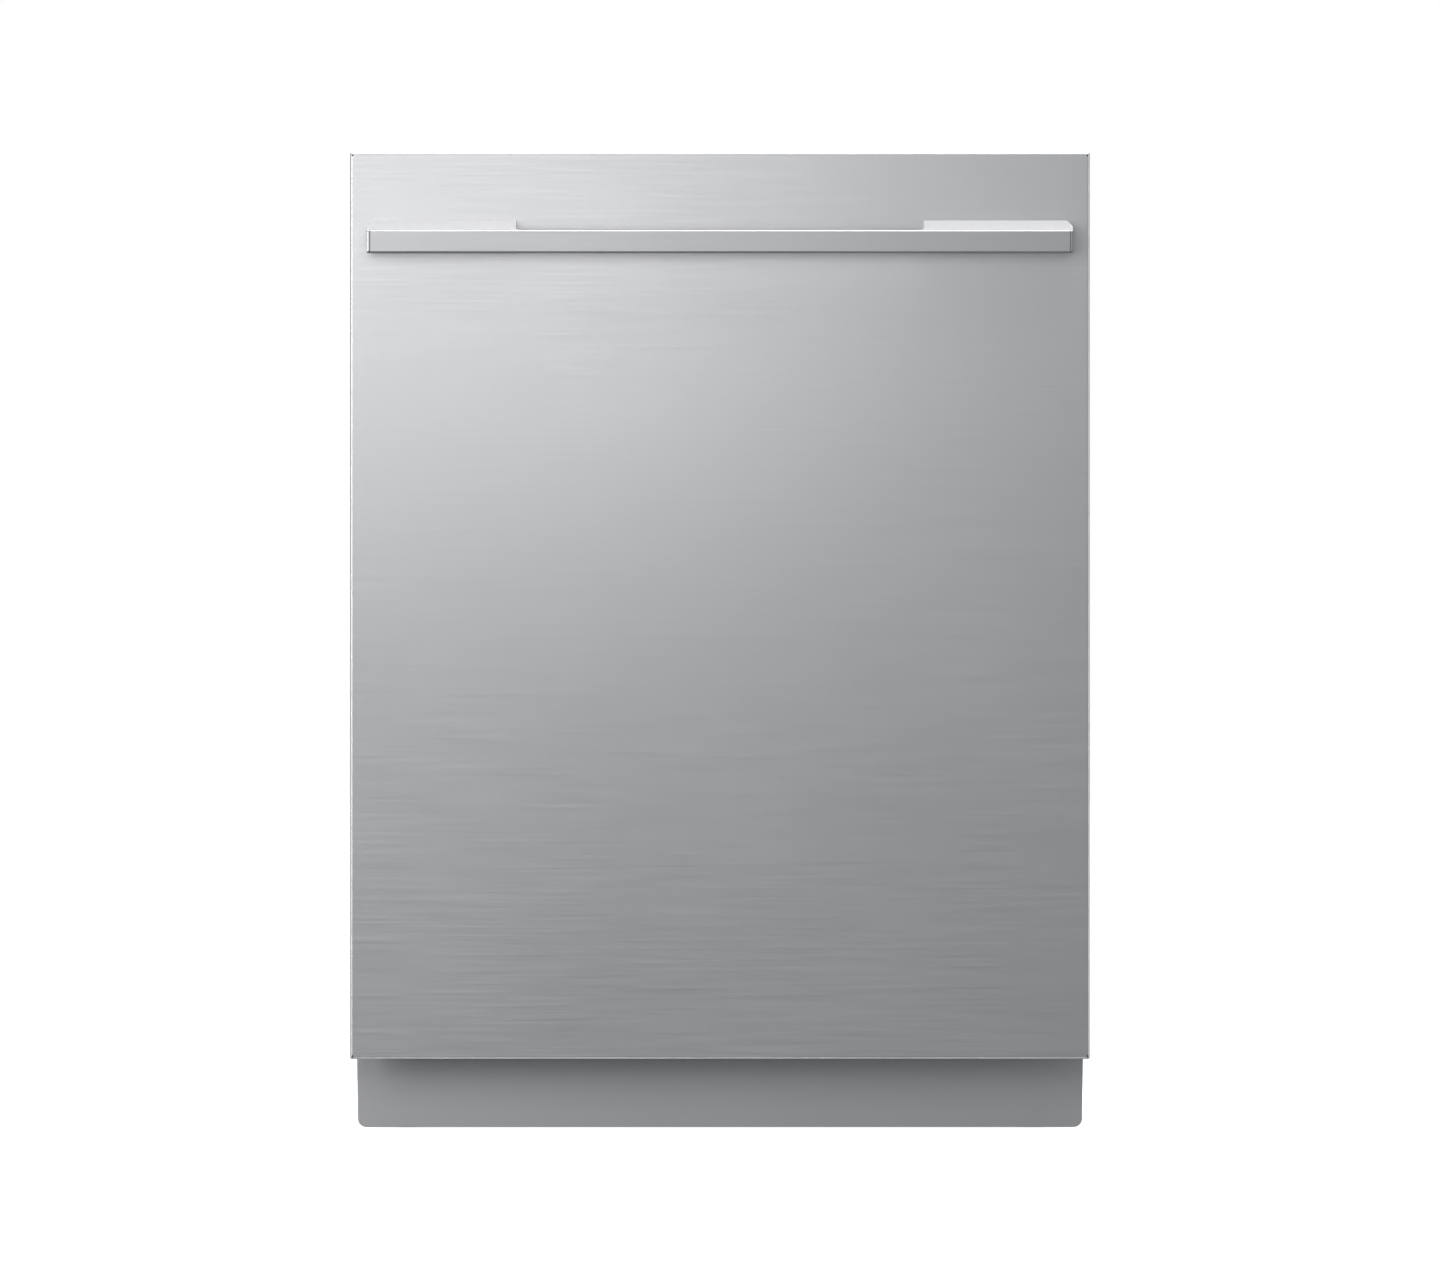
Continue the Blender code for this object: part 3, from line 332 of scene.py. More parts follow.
def weigh_normals(mesh, sharp):
    """Gives each face corner the sum of the normals x areas of the faces round its point that lie within
    the sharp angle of its own face, so that flat faces beside small radii stay flat to the eye."""
    count = len(mesh.loops)
    point, face = np.empty(count, int), np.repeat(np.arange(len(mesh.polygons)),
                                                  [polygon.loop_total for polygon in mesh.polygons])
    mesh.loops.foreach_get("vertex_index", point)
    normal, area = np.empty(len(mesh.polygons) * 3), np.empty(len(mesh.polygons))
    mesh.polygons.foreach_get("normal", normal)
    mesh.polygons.foreach_get("area", area)
    own = normal.reshape(-1, 3)[face]
    heavy = own * area[face][:, None]
    order = np.argsort(point, kind="stable")
    total = heavy.copy()
    for step in range(1, int(np.bincount(point).max())):
        first, second = order[:-step], order[step:]
        near = (own[first] * own[second]).sum(1) > np.cos(radians(sharp))
        same = (point[first] == point[second]) & near
        first, second = first[same], second[same]
        total[first] += heavy[second]
        total[second] += heavy[first]
    total /= np.maximum(np.linalg.norm(total, axis=1, keepdims=True), 1e-12)
    mesh.normals_split_custom_set(total.tolist())


def add(name, shape, body, finish, stands_for="", edge=0.0, wall=0.0, sharp=32):
    """Puts a shape into Blender as a piece that rides on a body, with its finish and material slot, in
    place of the frame node that it stands for, if any."""
    mesh = bpy.data.meshes.new(name)
    points, faces = shape
    mesh.from_pydata(np.asarray(points, float).tolist(), [], [list(map(int, row)) for row in faces])
    work = bmesh.new()
    work.from_mesh(mesh)
    bmesh.ops.remove_doubles(work, verts=work.verts, dist=1e-6)
    bmesh.ops.dissolve_degenerate(work, dist=1e-7, edges=work.edges)
    work.normal_update()
    given = [face.normal.copy() for face in work.faces]
    bmesh.ops.recalc_face_normals(work, faces=work.faces)
    agree = sum(face.normal.dot(normal) * face.calc_area() for face, normal in zip(work.faces, given))
    if wall and agree < 0:
        bmesh.ops.reverse_faces(work, faces=work.faces)
    work.to_mesh(mesh)
    work.free()
    mesh.materials.append(FINISHES[finish])
    mesh.shade_smooth()
    if wall or edge:
        mesh.set_sharp_from_angle(angle=radians(sharp))
    else:
        weigh_normals(mesh, sharp)
    piece = bpy.data.objects.new(name, mesh)
    bpy.context.scene.collection.objects.link(piece)
    if wall:
        solid = piece.modifiers.new("Wall", "SOLIDIFY")
        solid.thickness = wall
        solid.offset = -1
    if edge:
        bevel = piece.modifiers.new("Edges", "BEVEL")
        bevel.width = edge
        bevel.segments = 2
        bevel.limit_method = "ANGLE"
        bevel.angle_limit = radians(40)
        bevel.harden_normals = True
    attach(piece, body)
    if stands_for:
        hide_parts(stands_for)
    return piece


# ---- Materials ----


def add_node(tree, kind, settings=None, inputs=None):
    """Adds a node, gives it its settings, and sets or links its inputs."""
    made = tree.nodes.new(kind)
    for name, value in (settings or {}).items():
        setattr(made, name, value)
    for name, value in (inputs or {}).items():
        if isinstance(value, bpy.types.NodeSocket):
            tree.links.new(value, made.inputs[name])
        else:
            made.inputs[name].default_value = value
    return made


def start_material(name, **sockets):
    """A Principled material with its even values set on the shader, and Object coordinates to draw on."""
    made = bpy.data.materials.new(name)
    made.use_nodes = True
    tree = made.node_tree
    shader = tree.nodes["Principled BSDF"]
    for socket, value in sockets.items():
        shader.inputs[socket.replace("_", " ").title().replace("Ior", "IOR")].default_value = value
    place = add_node(tree, "ShaderNodeTexCoord").outputs["Object"]
    return made, tree, shader, place


def noise(tree, place, size, detail=2.0, stretch=(1, 1, 1), roughness=0.5):
    """Noise whose blobs are about size metres, stretched along each axis by the given factors."""
    scale = tuple(1 / (size * by) for by in stretch)
    mapped = add_node(tree, "ShaderNodeMapping", None, {"Vector": place, "Scale": scale}).outputs["Vector"]
    inputs = {"Vector": mapped, "Scale": 1.0, "Detail": detail, "Roughness": roughness}
    return add_node(tree, "ShaderNodeTexNoise", None, inputs).outputs["Fac"]


def ranged(tree, value, low, high, start=0.0, end=1.0):
    """The value carried from start-end to low-high."""
    inputs = {"Value": value, "From Min": start, "From Max": end, "To Min": low, "To Max": high}
    return add_node(tree, "ShaderNodeMapRange", None, inputs).outputs["Result"]


def shaded(tree, shader, base, value, depth):
    """Sets the base colour to vary with a 0-1 value, darker and lighter by depth."""
    dark = tuple(part * (1 - depth) for part in base) + (1,)
    light = tuple(min(1.0, part * (1 + depth)) for part in base) + (1,)
    mix = add_node(tree, "ShaderNodeMix", {"data_type": "RGBA"}, {"Factor": value, 6: dark, 7: light})
    tree.links.new(mix.outputs[2], shader.inputs["Base Color"])


def bump(tree, shader, height, distance):
    """A bump of so many metres from a 0-1 height."""
    inputs = {"Height": height, "Distance": distance, "Strength": 1.0}
    made = add_node(tree, "ShaderNodeBump", None, inputs)
    tree.links.new(made.outputs["Normal"], shader.inputs["Normal"])


def rough_between(tree, shader, value, low, high):
    tree.links.new(ranged(tree, value, low, high), shader.inputs["Roughness"])


def brushed_stainless(finish, name="brushed_304_stainless", roughness=0.34, along=(90, 1, 1), painted_light_factor=1.0):
    """Type 304 sheet, belt-brushed in long level strokes: fine lines that blur reflections up and down."""
    made, tree, shader, place = start_material(name, metallic=1.0)
    lines = noise(tree, place, finish.grain, 2.0, along)
    hair = noise(tree, place, finish.grain * 0.4, 1.0,
                 tuple(part * 3 if part > 1 else part for part in along))
    smudge = noise(tree, place, 0.16, 2.0)
    grain = add_node(tree, "ShaderNodeMix", {"data_type": "FLOAT"},
                     {"Factor": 0.35, 2: lines, 3: hair}).outputs[0]
    # Painted light: the steel's colour is scaled by painted_light_factor, below 1 for painted shade and
    # above 1 for painted light
    base = tuple(part * painted_light_factor for part in finish.steel)
    shaded(tree, shader, base, ranged(tree, grain, 0, 1, 0.25, 0.75), 0.035)
    wide = ranged(tree, smudge, -0.02, 0.02)
    fine = ranged(tree, grain, roughness - 0.05, roughness + 0.05, 0.3, 0.7)
    total = add_node(tree, "ShaderNodeMath", {"operation": "ADD"}, {0: wide, 1: fine})
    tree.links.new(total.outputs[0], shader.inputs["Roughness"])
    bump(tree, shader, grain, 0.012 * MM)
    return made


def tub_stainless(finish):
    """Bright cold-rolled stainless: nearly smooth, with a faint cross-grain and water haze."""
    made, tree, shader, place = start_material("bright_rolled_stainless", metallic=1.0)
    haze = noise(tree, place, 0.09, 1.0)
    roll = noise(tree, place, 1.2 * MM, 1.0, (1, 60, 1))
    shaded(tree, shader, finish.tub, haze, 0.03)
    rough_between(tree, shader, haze, 0.34, 0.40)
    bump(tree, shader, roll, 0.004 * MM)
    return made


def galvanised_sheet(finish):
    """Hot-dip galvanised sheet: dull zinc with crystal spangle about 6 mm across."""
    made, tree, shader, place = start_material("galvanised_sheet_steel", metallic=1.0)
    bend = noise(tree, place, 9 * MM, 1.0)
    scale = add_node(tree, "ShaderNodeMapping", None,
                     {"Vector": place, "Scale": (1 / 0.007,) * 3}).outputs[0]
    spangle = add_node(tree, "ShaderNodeTexVoronoi", None, {"Vector": scale, "Scale": 1.0})
    level = add_node(tree, "ShaderNodeSeparateColor", None,
                     {"Color": spangle.outputs["Color"]}).outputs["Red"]
    shaded(tree, shader, finish.zinc, level, 0.12)
    rough_between(tree, shader, level, 0.38, 0.58)
    bump(tree, shader, bend, 0.03 * MM)
    return made


def satin_paint(finish):
    """Aluminium-flake powder coat in satin grey: reflects like dull metal, with a slight orange peel."""
    made, tree, shader, place = start_material("satin_grey_flake_coat", metallic=1.0)
    peel = noise(tree, place, 1.6 * MM, 1.0)
    cloud = noise(tree, place, 0.12, 2.0)
    shaded(tree, shader, finish.kick, cloud, 0.02)
    rough_between(tree, shader, peel, 0.36, 0.44)
    bump(tree, shader, peel, 0.02 * MM)
    return made


def moulded_plastic(name, base, roughness, grit=0.5 * MM, depth=0.03, **sockets):
    """Injection-moulded plastic: an even eroded texture from the tool, with a slightly cloudy colour."""
    made, tree, shader, place = start_material(name, ior=1.49, **sockets)
    texture = noise(tree, place, grit, 2.0)
    cloud = noise(tree, place, 0.03, 2.0)
    shaded(tree, shader, base, cloud, depth)
    rough_between(tree, shader, texture, roughness - 0.06, roughness + 0.06)
    bump(tree, shader, texture, 0.02 * MM)
    return made


def nylon_coat(finish):
    """Nylon powder fused on to wire: thick, rounded and slightly waxy."""
    made, tree, shader, place = start_material("nylon_coated_wire", ior=1.53, coat_weight=0.15,
                                               coat_roughness=0.3)
    lump = noise(tree, place, 1.5 * MM, 2.0)
    shaded(tree, shader, finish.nylon, noise(tree, place, 0.02, 2.0), 0.05)
    rough_between(tree, shader, lump, 0.34, 0.48)
    bump(tree, shader, lump, 0.03 * MM)
    return made


def seal_rubber():
    """Extruded EPDM: matt black with a faint bloom and drawn lines."""
    made, tree, shader, place = start_material("epdm_seal_rubber", ior=1.52)
    bloom = noise(tree, place, 0.02, 3.0)
    shaded(tree, shader, linear("#232426"), bloom, 0.25)
    rough_between(tree, shader, bloom, 0.62, 0.78)
    bump(tree, shader, noise(tree, place, 0.6 * MM, 2.0), 0.03 * MM)
    return made


def needled_felt():
    """Needled recycled-fibre felt: dark, matt and fuzzy, with paler fibres."""
    made, tree, shader, place = start_material("needled_felt", sheen_weight=0.35, sheen_roughness=0.6)
    fibre = noise(tree, place, 1.4 * MM, 4.0, (1, 4, 1), 0.7)
    fleck = noise(tree, place, 1.1 * MM, 4.0, (4, 1, 1), 0.7)
    both = add_node(tree, "ShaderNodeMath", {"operation": "MAXIMUM"}, {0: fibre, 1: fleck}).outputs[0]
    shaded(tree, shader, linear("#4A4B4E"), ranged(tree, both, 0, 1, 0.45, 0.75), 0.55)
    rough_between(tree, shader, fibre, 0.85, 0.98)
    bump(tree, shader, both, 0.5 * MM)
    return made


def woven_screen():
    """Fine stainless filter cloth: a woven grid of wires 0.5 mm apart, with dark gaps between."""
    made, tree, shader, place = start_material("woven_stainless_screen", metallic=1.0)
    scaled = add_node(tree, "ShaderNodeMapping", None,
                      {"Vector": place, "Scale": (2000, 2000, 2000)}).outputs[0]
    weave = add_node(tree, "ShaderNodeTexChecker", None, {"Vector": scaled, "Scale": 1.0}).outputs["Fac"]
    shaded(tree, shader, linear("#8C8E91"), weave, 0.35)
    rough_between(tree, shader, weave, 0.30, 0.50)
    bump(tree, shader, weave, 0.1 * MM)
    return made


def dark_glass():
    """Black-tinted acrylic over the display: smooth and glossy, with a faint haze."""
    made, tree, shader, place = start_material("tinted_acrylic", ior=1.49, coat_weight=1.0,
                                               coat_roughness=0.04)
    haze = noise(tree, place, 0.01, 3.0)
    shaded(tree, shader, linear("#0C0D10"), haze, 0.2)
    rough_between(tree, shader, haze, 0.08, 0.16)
    return made


FINISHES = {}


def make_finishes(finish):
    FINISHES.update(
        steel=brushed_stainless(finish),
        # bar: the door's steel painted 18% darker, as painted shade for the handle bar's darker front; the
        # upper runners use it too
        bar=brushed_stainless(finish, "brushed_stainless_bar_painted_shade", 0.36, painted_light_factor=0.82),
        # cast: a bead-blasted roughness, and the steel painted 4% lighter as painted light for the bright
        # up-facing bracket tops
        cast=brushed_stainless(finish, "bead_blasted_stainless_casting_painted_light", 0.62, (1, 1, 1), 1.04),
        tub=tub_stainless(finish),
        zinc=galvanised_sheet(finish),
        kick=satin_paint(finish),
        black=moulded_plastic("black_abs", linear("#242528"), 0.48),
        grey=moulded_plastic("grey_polypropylene", finish.grey, 0.46),
        pale=moulded_plastic("pale_grey_polypropylene", linear("#B9BEC3"), 0.42),
        nylon=nylon_coat(finish),
        rubber=seal_rubber(),
        felt=needled_felt(),
        glass=dark_glass(),
        mesh=woven_screen(),
        legend=moulded_plastic("printed_white_ink", linear("#D9DCDF"), 0.5, depth=0.02),
        spring=brushed_stainless(finish, "oiled_spring_steel", 0.30, (1, 1, 1)),
    )


NODE_FINISHES = {
    "brushed_stainless": "steel",
    "tub_stainless": "tub",
    "galvanised_steel": "zinc",
    "spring_steel": "spring",
    "runner_steel": "bar",
    "kick_paint": "kick",
    "black_plastic": "black",
    "grey_plastic": "grey",
    "rack_nylon": "nylon",
    "rubber_seal": "rubber",
    "insulation_felt": "felt",
}


class DISHWASHER_OT_finishes(bpy.types.Operator):
    """Makes the materials and gives every frame node the one for its slot"""

    bl_idname = "dishwasher.finishes"
    bl_label = "Finishes"

    def execute(self, context):
        make_finishes(context.scene.dishwasher.finish)
        for part in frame["record"]["subparts"]:
            mesh = frame["nodes"][part["node"]].data
            mesh.materials.clear()
            mesh.materials.append(FINISHES[NODE_FINISHES[part["material_slot"]]])
        return {"FINISHED"}


# ---- Door ----


class DISHWASHER_OT_door_skin(bpy.types.Operator):
    """The outer skin: one brushed sheet folded back all round, with black discs at its corners as painted
    shade for relief notches
    """

    bl_idname = "dishwasher.door_skin"
    bl_label = "Door Skin"

    def execute(self, context):
        sizes = context.scene.dishwasher.door
        low = box_of("door_panel")[0]
        middle, half = span_of("door_panel")[2:]
        turn = np.linspace(0, pi / 2, 7)
        outer = [(sizes.fold * (1 - np.sin(a)), sizes.fold * (1 - np.cos(a))) for a in turn]
        inner_fold = sizes.fold - sizes.sheet
        inner = [(sizes.sheet + inner_fold * (1 - np.sin(a)), sizes.sheet + inner_fold * (1 - np.cos(a)))
                 for a in turn[::-1]]
        rings = []
        for inset, back in [*outer, (0, None), (sizes.sheet, None), *inner]:
            loop = rounded_loop(half[0] - inset, half[2] - inset, max(0.4 * MM, 1.6 * MM - inset), 4)
            level = np.abs(loop[:, 1]) > half[2] - 2.2 * MM
            depth = np.where(level, sizes.top_return, sizes.side_return) if back is None else back
            rings.append(np.stack([loop[:, 0], np.broadcast_to(low[1] + depth, len(loop)),
                                   loop[:, 1] + middle[2]], -1))
        add("outer_door_skin", loft(np.stack(rings)), "door", "steel", "door_panel")
        bead, reach = 0.5 * MM, half[0] - 2.5 * MM
        line = [(-reach, low[1] + 0.1 * MM, low[2] + bead), (reach, low[1] + 0.1 * MM, low[2] + bead)]
        add("bottom_edge_bead", rod(np.array(line), 2 * bead, UP, 10), "door", "steel")
        # Painted shade: black discs on the skin's face stand in for the dark of the relief notches at the
        # corners
        notch_shade_disc = turned([(0, 0), (0.75 * MM, 0), (0.75 * MM, 0.5 * MM), (0, 0.5 * MM)], axis="Y", sides=12)
        places = [(sx * (half[0] - 1.9 * MM), low[1] - 0.02 * MM, middle[2] + sz * (half[2] - 2.4 * MM))
                  for sx in (-1, 1) for sz in (-1, 1)]
        add("corner_notch_painted_shade", joined(*[moved(notch_shade_disc, place) for place in places]), "door", "black")
        return {"FINISHED"}


class DISHWASHER_OT_handle(bpy.types.Operator):
    """The handle: a brushed bar with capped ends on two cast brackets that flare into it"""

    bl_idname = "dishwasher.handle"
    bl_label = "Handle"

    def execute(self, context):
        sizes = context.scene.dishwasher.door
        middle, half = span_of("handle_bar")[2:]
        section = rounded_loop(half[1], half[2], sizes.bar_edge, 5)
        groove = 0.35 * MM
        reach = half[0] - sizes.cap - groove

        def bar_shape(stations):
            loops = []
            for x, shrink in stations:
                loop = section * (1 - shrink / half[1:])
                loops.append(np.column_stack([np.full(len(loop), x), loop + middle[1:]]))
            return loft(np.stack(loops))

        tip = 0.3 * MM
        # The bar and its caps use the darker copy of the steel, with painted shade
        add("handle_bar_tube", bar_shape([(-reach, tip), (tip - reach, 0), (reach - tip, 0), (reach, tip)]),
            "door", "bar", "handle_bar")
        start, end = half[0] - sizes.cap, half[0]
        cap = bar_shape([(start, tip), (start + tip, 0), (end - 0.7 * MM, 0), (end - 0.2 * MM, 0.2 * MM),
                         (end, 0.7 * MM)])
        core = bar_shape([(reach - 2 * MM, 0.8 * MM), (start + 0.5 * MM, 0.8 * MM)])
        add("handle_end_caps", joined(cap, mirrored(cap)), "door", "bar")
        add("handle_cap_spigots", joined(core, mirrored(core)), "door", "black")
        for side in ("left", "right"):
            self.bracket(side, sizes)
        return {"FINISHED"}

    def bracket(self, side, sizes):
        """Plan outline: straight back from the bar and then leaning in on the outer side, and a concave
        quarter circle on the inner side. Height: level below, and rising evenly from bar to door above."""
        low, high = box_of(f"handle_bracket_{side}")
        bar_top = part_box("handle_bar")[1][2]
        turn = np.linspace(0, pi / 2, 9)
        sweep_in = 1 if side == "left" else -1
        inner = high[0] if side == "left" else low[0]
        outer = low[0] if side == "left" else high[0]
        centre = (inner + sweep_in * sizes.fillet, low[1] + sizes.fillet)
        flare = [(centre[0] - sweep_in * sizes.fillet * np.sin(a), centre[1] - sizes.fillet * np.cos(a))
                 for a in turn]
        draft = sweep_in * 4.5 * MM
        outline = np.array([(outer + draft, high[1]), (outer, low[1] + 11 * MM), (outer, low[1]), *flare,
                            (inner, high[1])])
        climb = (outline[:, 1] - low[1]) / (high[1] - low[1])
        top = bar_top + climb * (high[2] - bar_top)
        bottom = at_height(outline, low[2])
        # The brackets use the lighter copy of the steel, with painted light
        add(f"cast_handle_bracket_{side}", loft(np.stack([bottom, np.column_stack([outline, top])])),
            "door", "cast", f"handle_bracket_{side}", edge=0.8 * MM)


class DISHWASHER_OT_kick_plate(bpy.types.Operator):
    """The kick plate: satin-painted sheet with rounded lower corners and softened edges"""

    bl_idname = "dishwasher.kick_plate"
    bl_label = "Kick Plate"

    def execute(self, context):
        low, high = box_of("kick_plate")
        half, radius, taper = high[0], 7 * MM, 1 * MM
        turn = np.linspace(0, pi / 2, 9)
        arc = np.stack([np.sin(turn), -np.cos(turn)], -1)
        right = (half - taper - radius, low[2] + radius) + radius * arc
        outline = np.concatenate([right, [(half, high[2])], [(-half, high[2])], right[::-1] * (-1, 1)])
        add("painted_kick_plate", slab(outline, low[1], high[1], "XZ"), "cabinet", "kick",
            "kick_plate", edge=0.5 * MM)
        return {"FINISHED"}


# ---- Door: inside ----


def relief_box(x, z, low, high, radius, slope):
    """1 inside a rounded rectangle and 0 outside, eased over the slope: from the signed distance to it."""
    middle, half = (np.array(low) + high) / 2, (np.array(high) - low) / 2
    over = np.stack([np.abs(x - middle[0]) - half[0] + radius, np.abs(z - middle[1]) - half[1] + radius])
    outside = np.hypot(*np.maximum(over, 0)) + np.minimum(over.max(0), 0) - radius
    return 1 - smooth_step(outside, -slope, 0)


def sheet_grid(points, holes=()):
    """Quads over a grid of points, less those whose middle lies in a hole's (low, high) on x and z."""
    rows, columns = points.shape[:2]
    flat = points.reshape(-1, 3)
    faces = grid_faces(rows, columns)
    middle = flat[faces].mean(1)
    keep = np.ones(len(faces), bool)
    for low, high in holes:
        keep &= ~np.all((middle[:, (0, 2)] > low) & (middle[:, (0, 2)] < high), axis=1)
    return flat, faces[keep].tolist()


def grid_lines(low, high, step, stops=()):
    """Even lines from low to high, with close pairs added at each stop for a steep edge to land on."""
    extra = [stop + gap for stop in stops for gap in (-0.4 * MM, 0.4 * MM, 1.6 * MM, -1.6 * MM)]
    lines = np.concatenate([even(low, high, step), [value for value in extra if low < value < high]])
    lines = np.sort(lines)
    return lines[np.concatenate([[True], np.diff(lines) > 0.15 * MM])]


def drawn_pan(span, fold, step, stops, relief):
    """A pan_grid over the back of a node's box, with even lines and extra ones at the stops on x and z."""
    low, high, middle, half = span
    lines = []
    for axis, stop in zip((0, 2), stops):
        inner = grid_lines(fold - half[axis], half[axis] - fold, step, stop)[1:-1]
        lines.append(fold_lines(half[axis], fold, inner)[1:-1])
    points = pan_grid(half[[0, 2]], fold, high[1] - low[1], lines, relief)
    return points * (1, -1, 1) + (middle[0], high[1], middle[2])


class DISHWASHER_OT_door_liner(bpy.types.Operator):
    """The liner: a bright sheet drawn into a shallow pan, with a pressed field and level beads"""

    bl_idname = "dishwasher.door_liner"
    bl_label = "Door Liner"

    def execute(self, context):
        span = span_of("door_liner")
        high, middle, half = span[1:]
        cup_low, cup_high = box_of("dispenser_body")
        stops = [(cup_low[0], cup_high[0]), (cup_low[2] - middle[2], cup_high[2] - middle[2])]

        def relief(x, z):
            field = relief_box(x, z, (-0.247, 0.045 - half[2]), (0.247, half[2] - 0.030), 0.035, 9 * MM)
            beads = sum(relief_box(x, z, (-0.19, at - 0.008), (0.19, at + 0.008), 8 * MM, 6 * MM)
                        for at in (-0.235, -0.190, -0.145, 0.215))
            return 3.5 * MM * field - 2.0 * MM * beads

        margin = 1.5 * MM
        hole = (cup_low[[0, 2]] + margin, cup_high[[0, 2]] - margin)
        sheet = sheet_grid(drawn_pan(span, 6 * MM, 7 * MM, stops, relief), [hole])
        add("pressed_door_liner", flipped(sheet), "door", "tub", "door_liner", wall=0.8 * MM)
        screws = [(x, high[1] - 0.2 * MM, z) for x in (-0.268, 0.268) for z in (0.16, 0.34, 0.52, 0.70)]
        add("liner_screws", joined(*[screw_head(place, "Y", 3.4 * MM) for place in screws]), "door", "tub")
        return {"FINISHED"}


def screw_head(place, axis, radius, facing=1):
    """A low pan head: a dome through (radius x t, height x (1.1 - t^2)), with a socket in the middle."""
    height = 0.45 * radius
    dome = [(radius * part, height * (1 - part**2) + 0.1 * height) for part in (0.5, 0.75, 1.0)]
    profile = [(0.35 * radius, 0.25 * height), (0.40 * radius, 0.96 * height), *dome,
               (radius, -0.1 * height)]
    return turned([(r, h * facing) for r, h in profile], place, axis, 14)


class DISHWASHER_OT_dispenser(bpy.types.Operator):
    """The dispenser: a moulded body with a detergent cup, its sliding lid and a ribbed rinse-aid cap"""

    bl_idname = "dishwasher.dispenser"
    bl_label = "Dispenser"

    def execute(self, context):
        span = span_of("dispenser_body")
        middle = span[2]
        lid_low, lid_high = box_of("detergent_lid")
        cap_low, cap_high, cap_middle, cap_half = span_of("rinse_aid_cap")
        cap_radius = cap_half[0]
        cup_low, cup_high = lid_low[[0, 2]] + 4 * MM, lid_high[[0, 2]] - 4 * MM
        stops = [(cup_low[0] - middle[0], cup_high[0] - middle[0]),
                 (cup_low[1] - middle[2], cup_high[1] - middle[2])]

        def relief(x, z):
            cup = relief_box(x + middle[0], z + middle[2], cup_low, cup_high, 8 * MM, 3 * MM)
            ring = np.hypot(x + middle[0] - cap_middle[0], z + middle[2] - cap_middle[2])
            seat = 1 - smooth_step(ring, cap_radius + 0.5 * MM, cap_radius + 2.5 * MM)
            slots = sum(relief_box(x, z, (0.060, at - 1.2 * MM), (0.084, at + 1.2 * MM), 1 * MM, 1 * MM)
                        for at in np.arange(-4, 5) * 5 * MM - 0.033)
            return 26 * MM * cup + 1.4 * MM * seat + 1.5 * MM * slots

        sheet = sheet_grid(drawn_pan(span, 4 * MM, 2.2 * MM, stops, relief))
        add("dispenser_moulding", flipped(sheet), "door", "grey", "dispenser_body", wall=1.2 * MM)
        lid = block(lid_low, lid_high, 7 * MM, "XZ")
        grips = [block((lid_low[0] + 14 * MM, lid_high[1] - 0.2 * MM, z - 1 * MM),
                       (lid_high[0] - 14 * MM, lid_high[1] + 1.6 * MM, z + 1 * MM), 0.9 * MM, "XZ")
                 for z in lid_low[2] + np.array([9, 13.5, 18]) * MM]
        add("detergent_sliding_lid", joined(lid, *grips), "detergent_lid", "pale",
            "detergent_lid", edge=0.4 * MM)
        turn = np.arange(72) * tau / 72
        depth = cap_high[1] - cap_low[1]
        rings = []
        for radius, rise, lobe in ((0.2, 0, 0), (0.99, 0, 1), (0.99, 0.55, 1), (0.93, 0.62, 0.3),
                                   (0.3, 0.66, 0)):
            size = cap_radius * radius - 0.6 * MM * lobe * (0.5 + 0.5 * np.cos(24 * turn))
            rings.append(np.stack([cap_middle[0] + size * np.cos(turn),
                                   np.full(72, cap_low[1] + rise * depth),
                                   cap_middle[2] + size * np.sin(turn)], -1))
        grip = block((cap_low[0] + 3 * MM, cap_low[1] + 0.6 * depth, cap_middle[2] - 2.6 * MM),
                     (cap_high[0] - 3 * MM, cap_high[1], cap_middle[2] + 2.6 * MM), 2 * MM, "XY")
        add("rinse_aid_screw_cap", joined(loft(np.stack(rings)), grip), "rinse_aid_cap", "pale",
            "rinse_aid_cap")
        return {"FINISHED"}


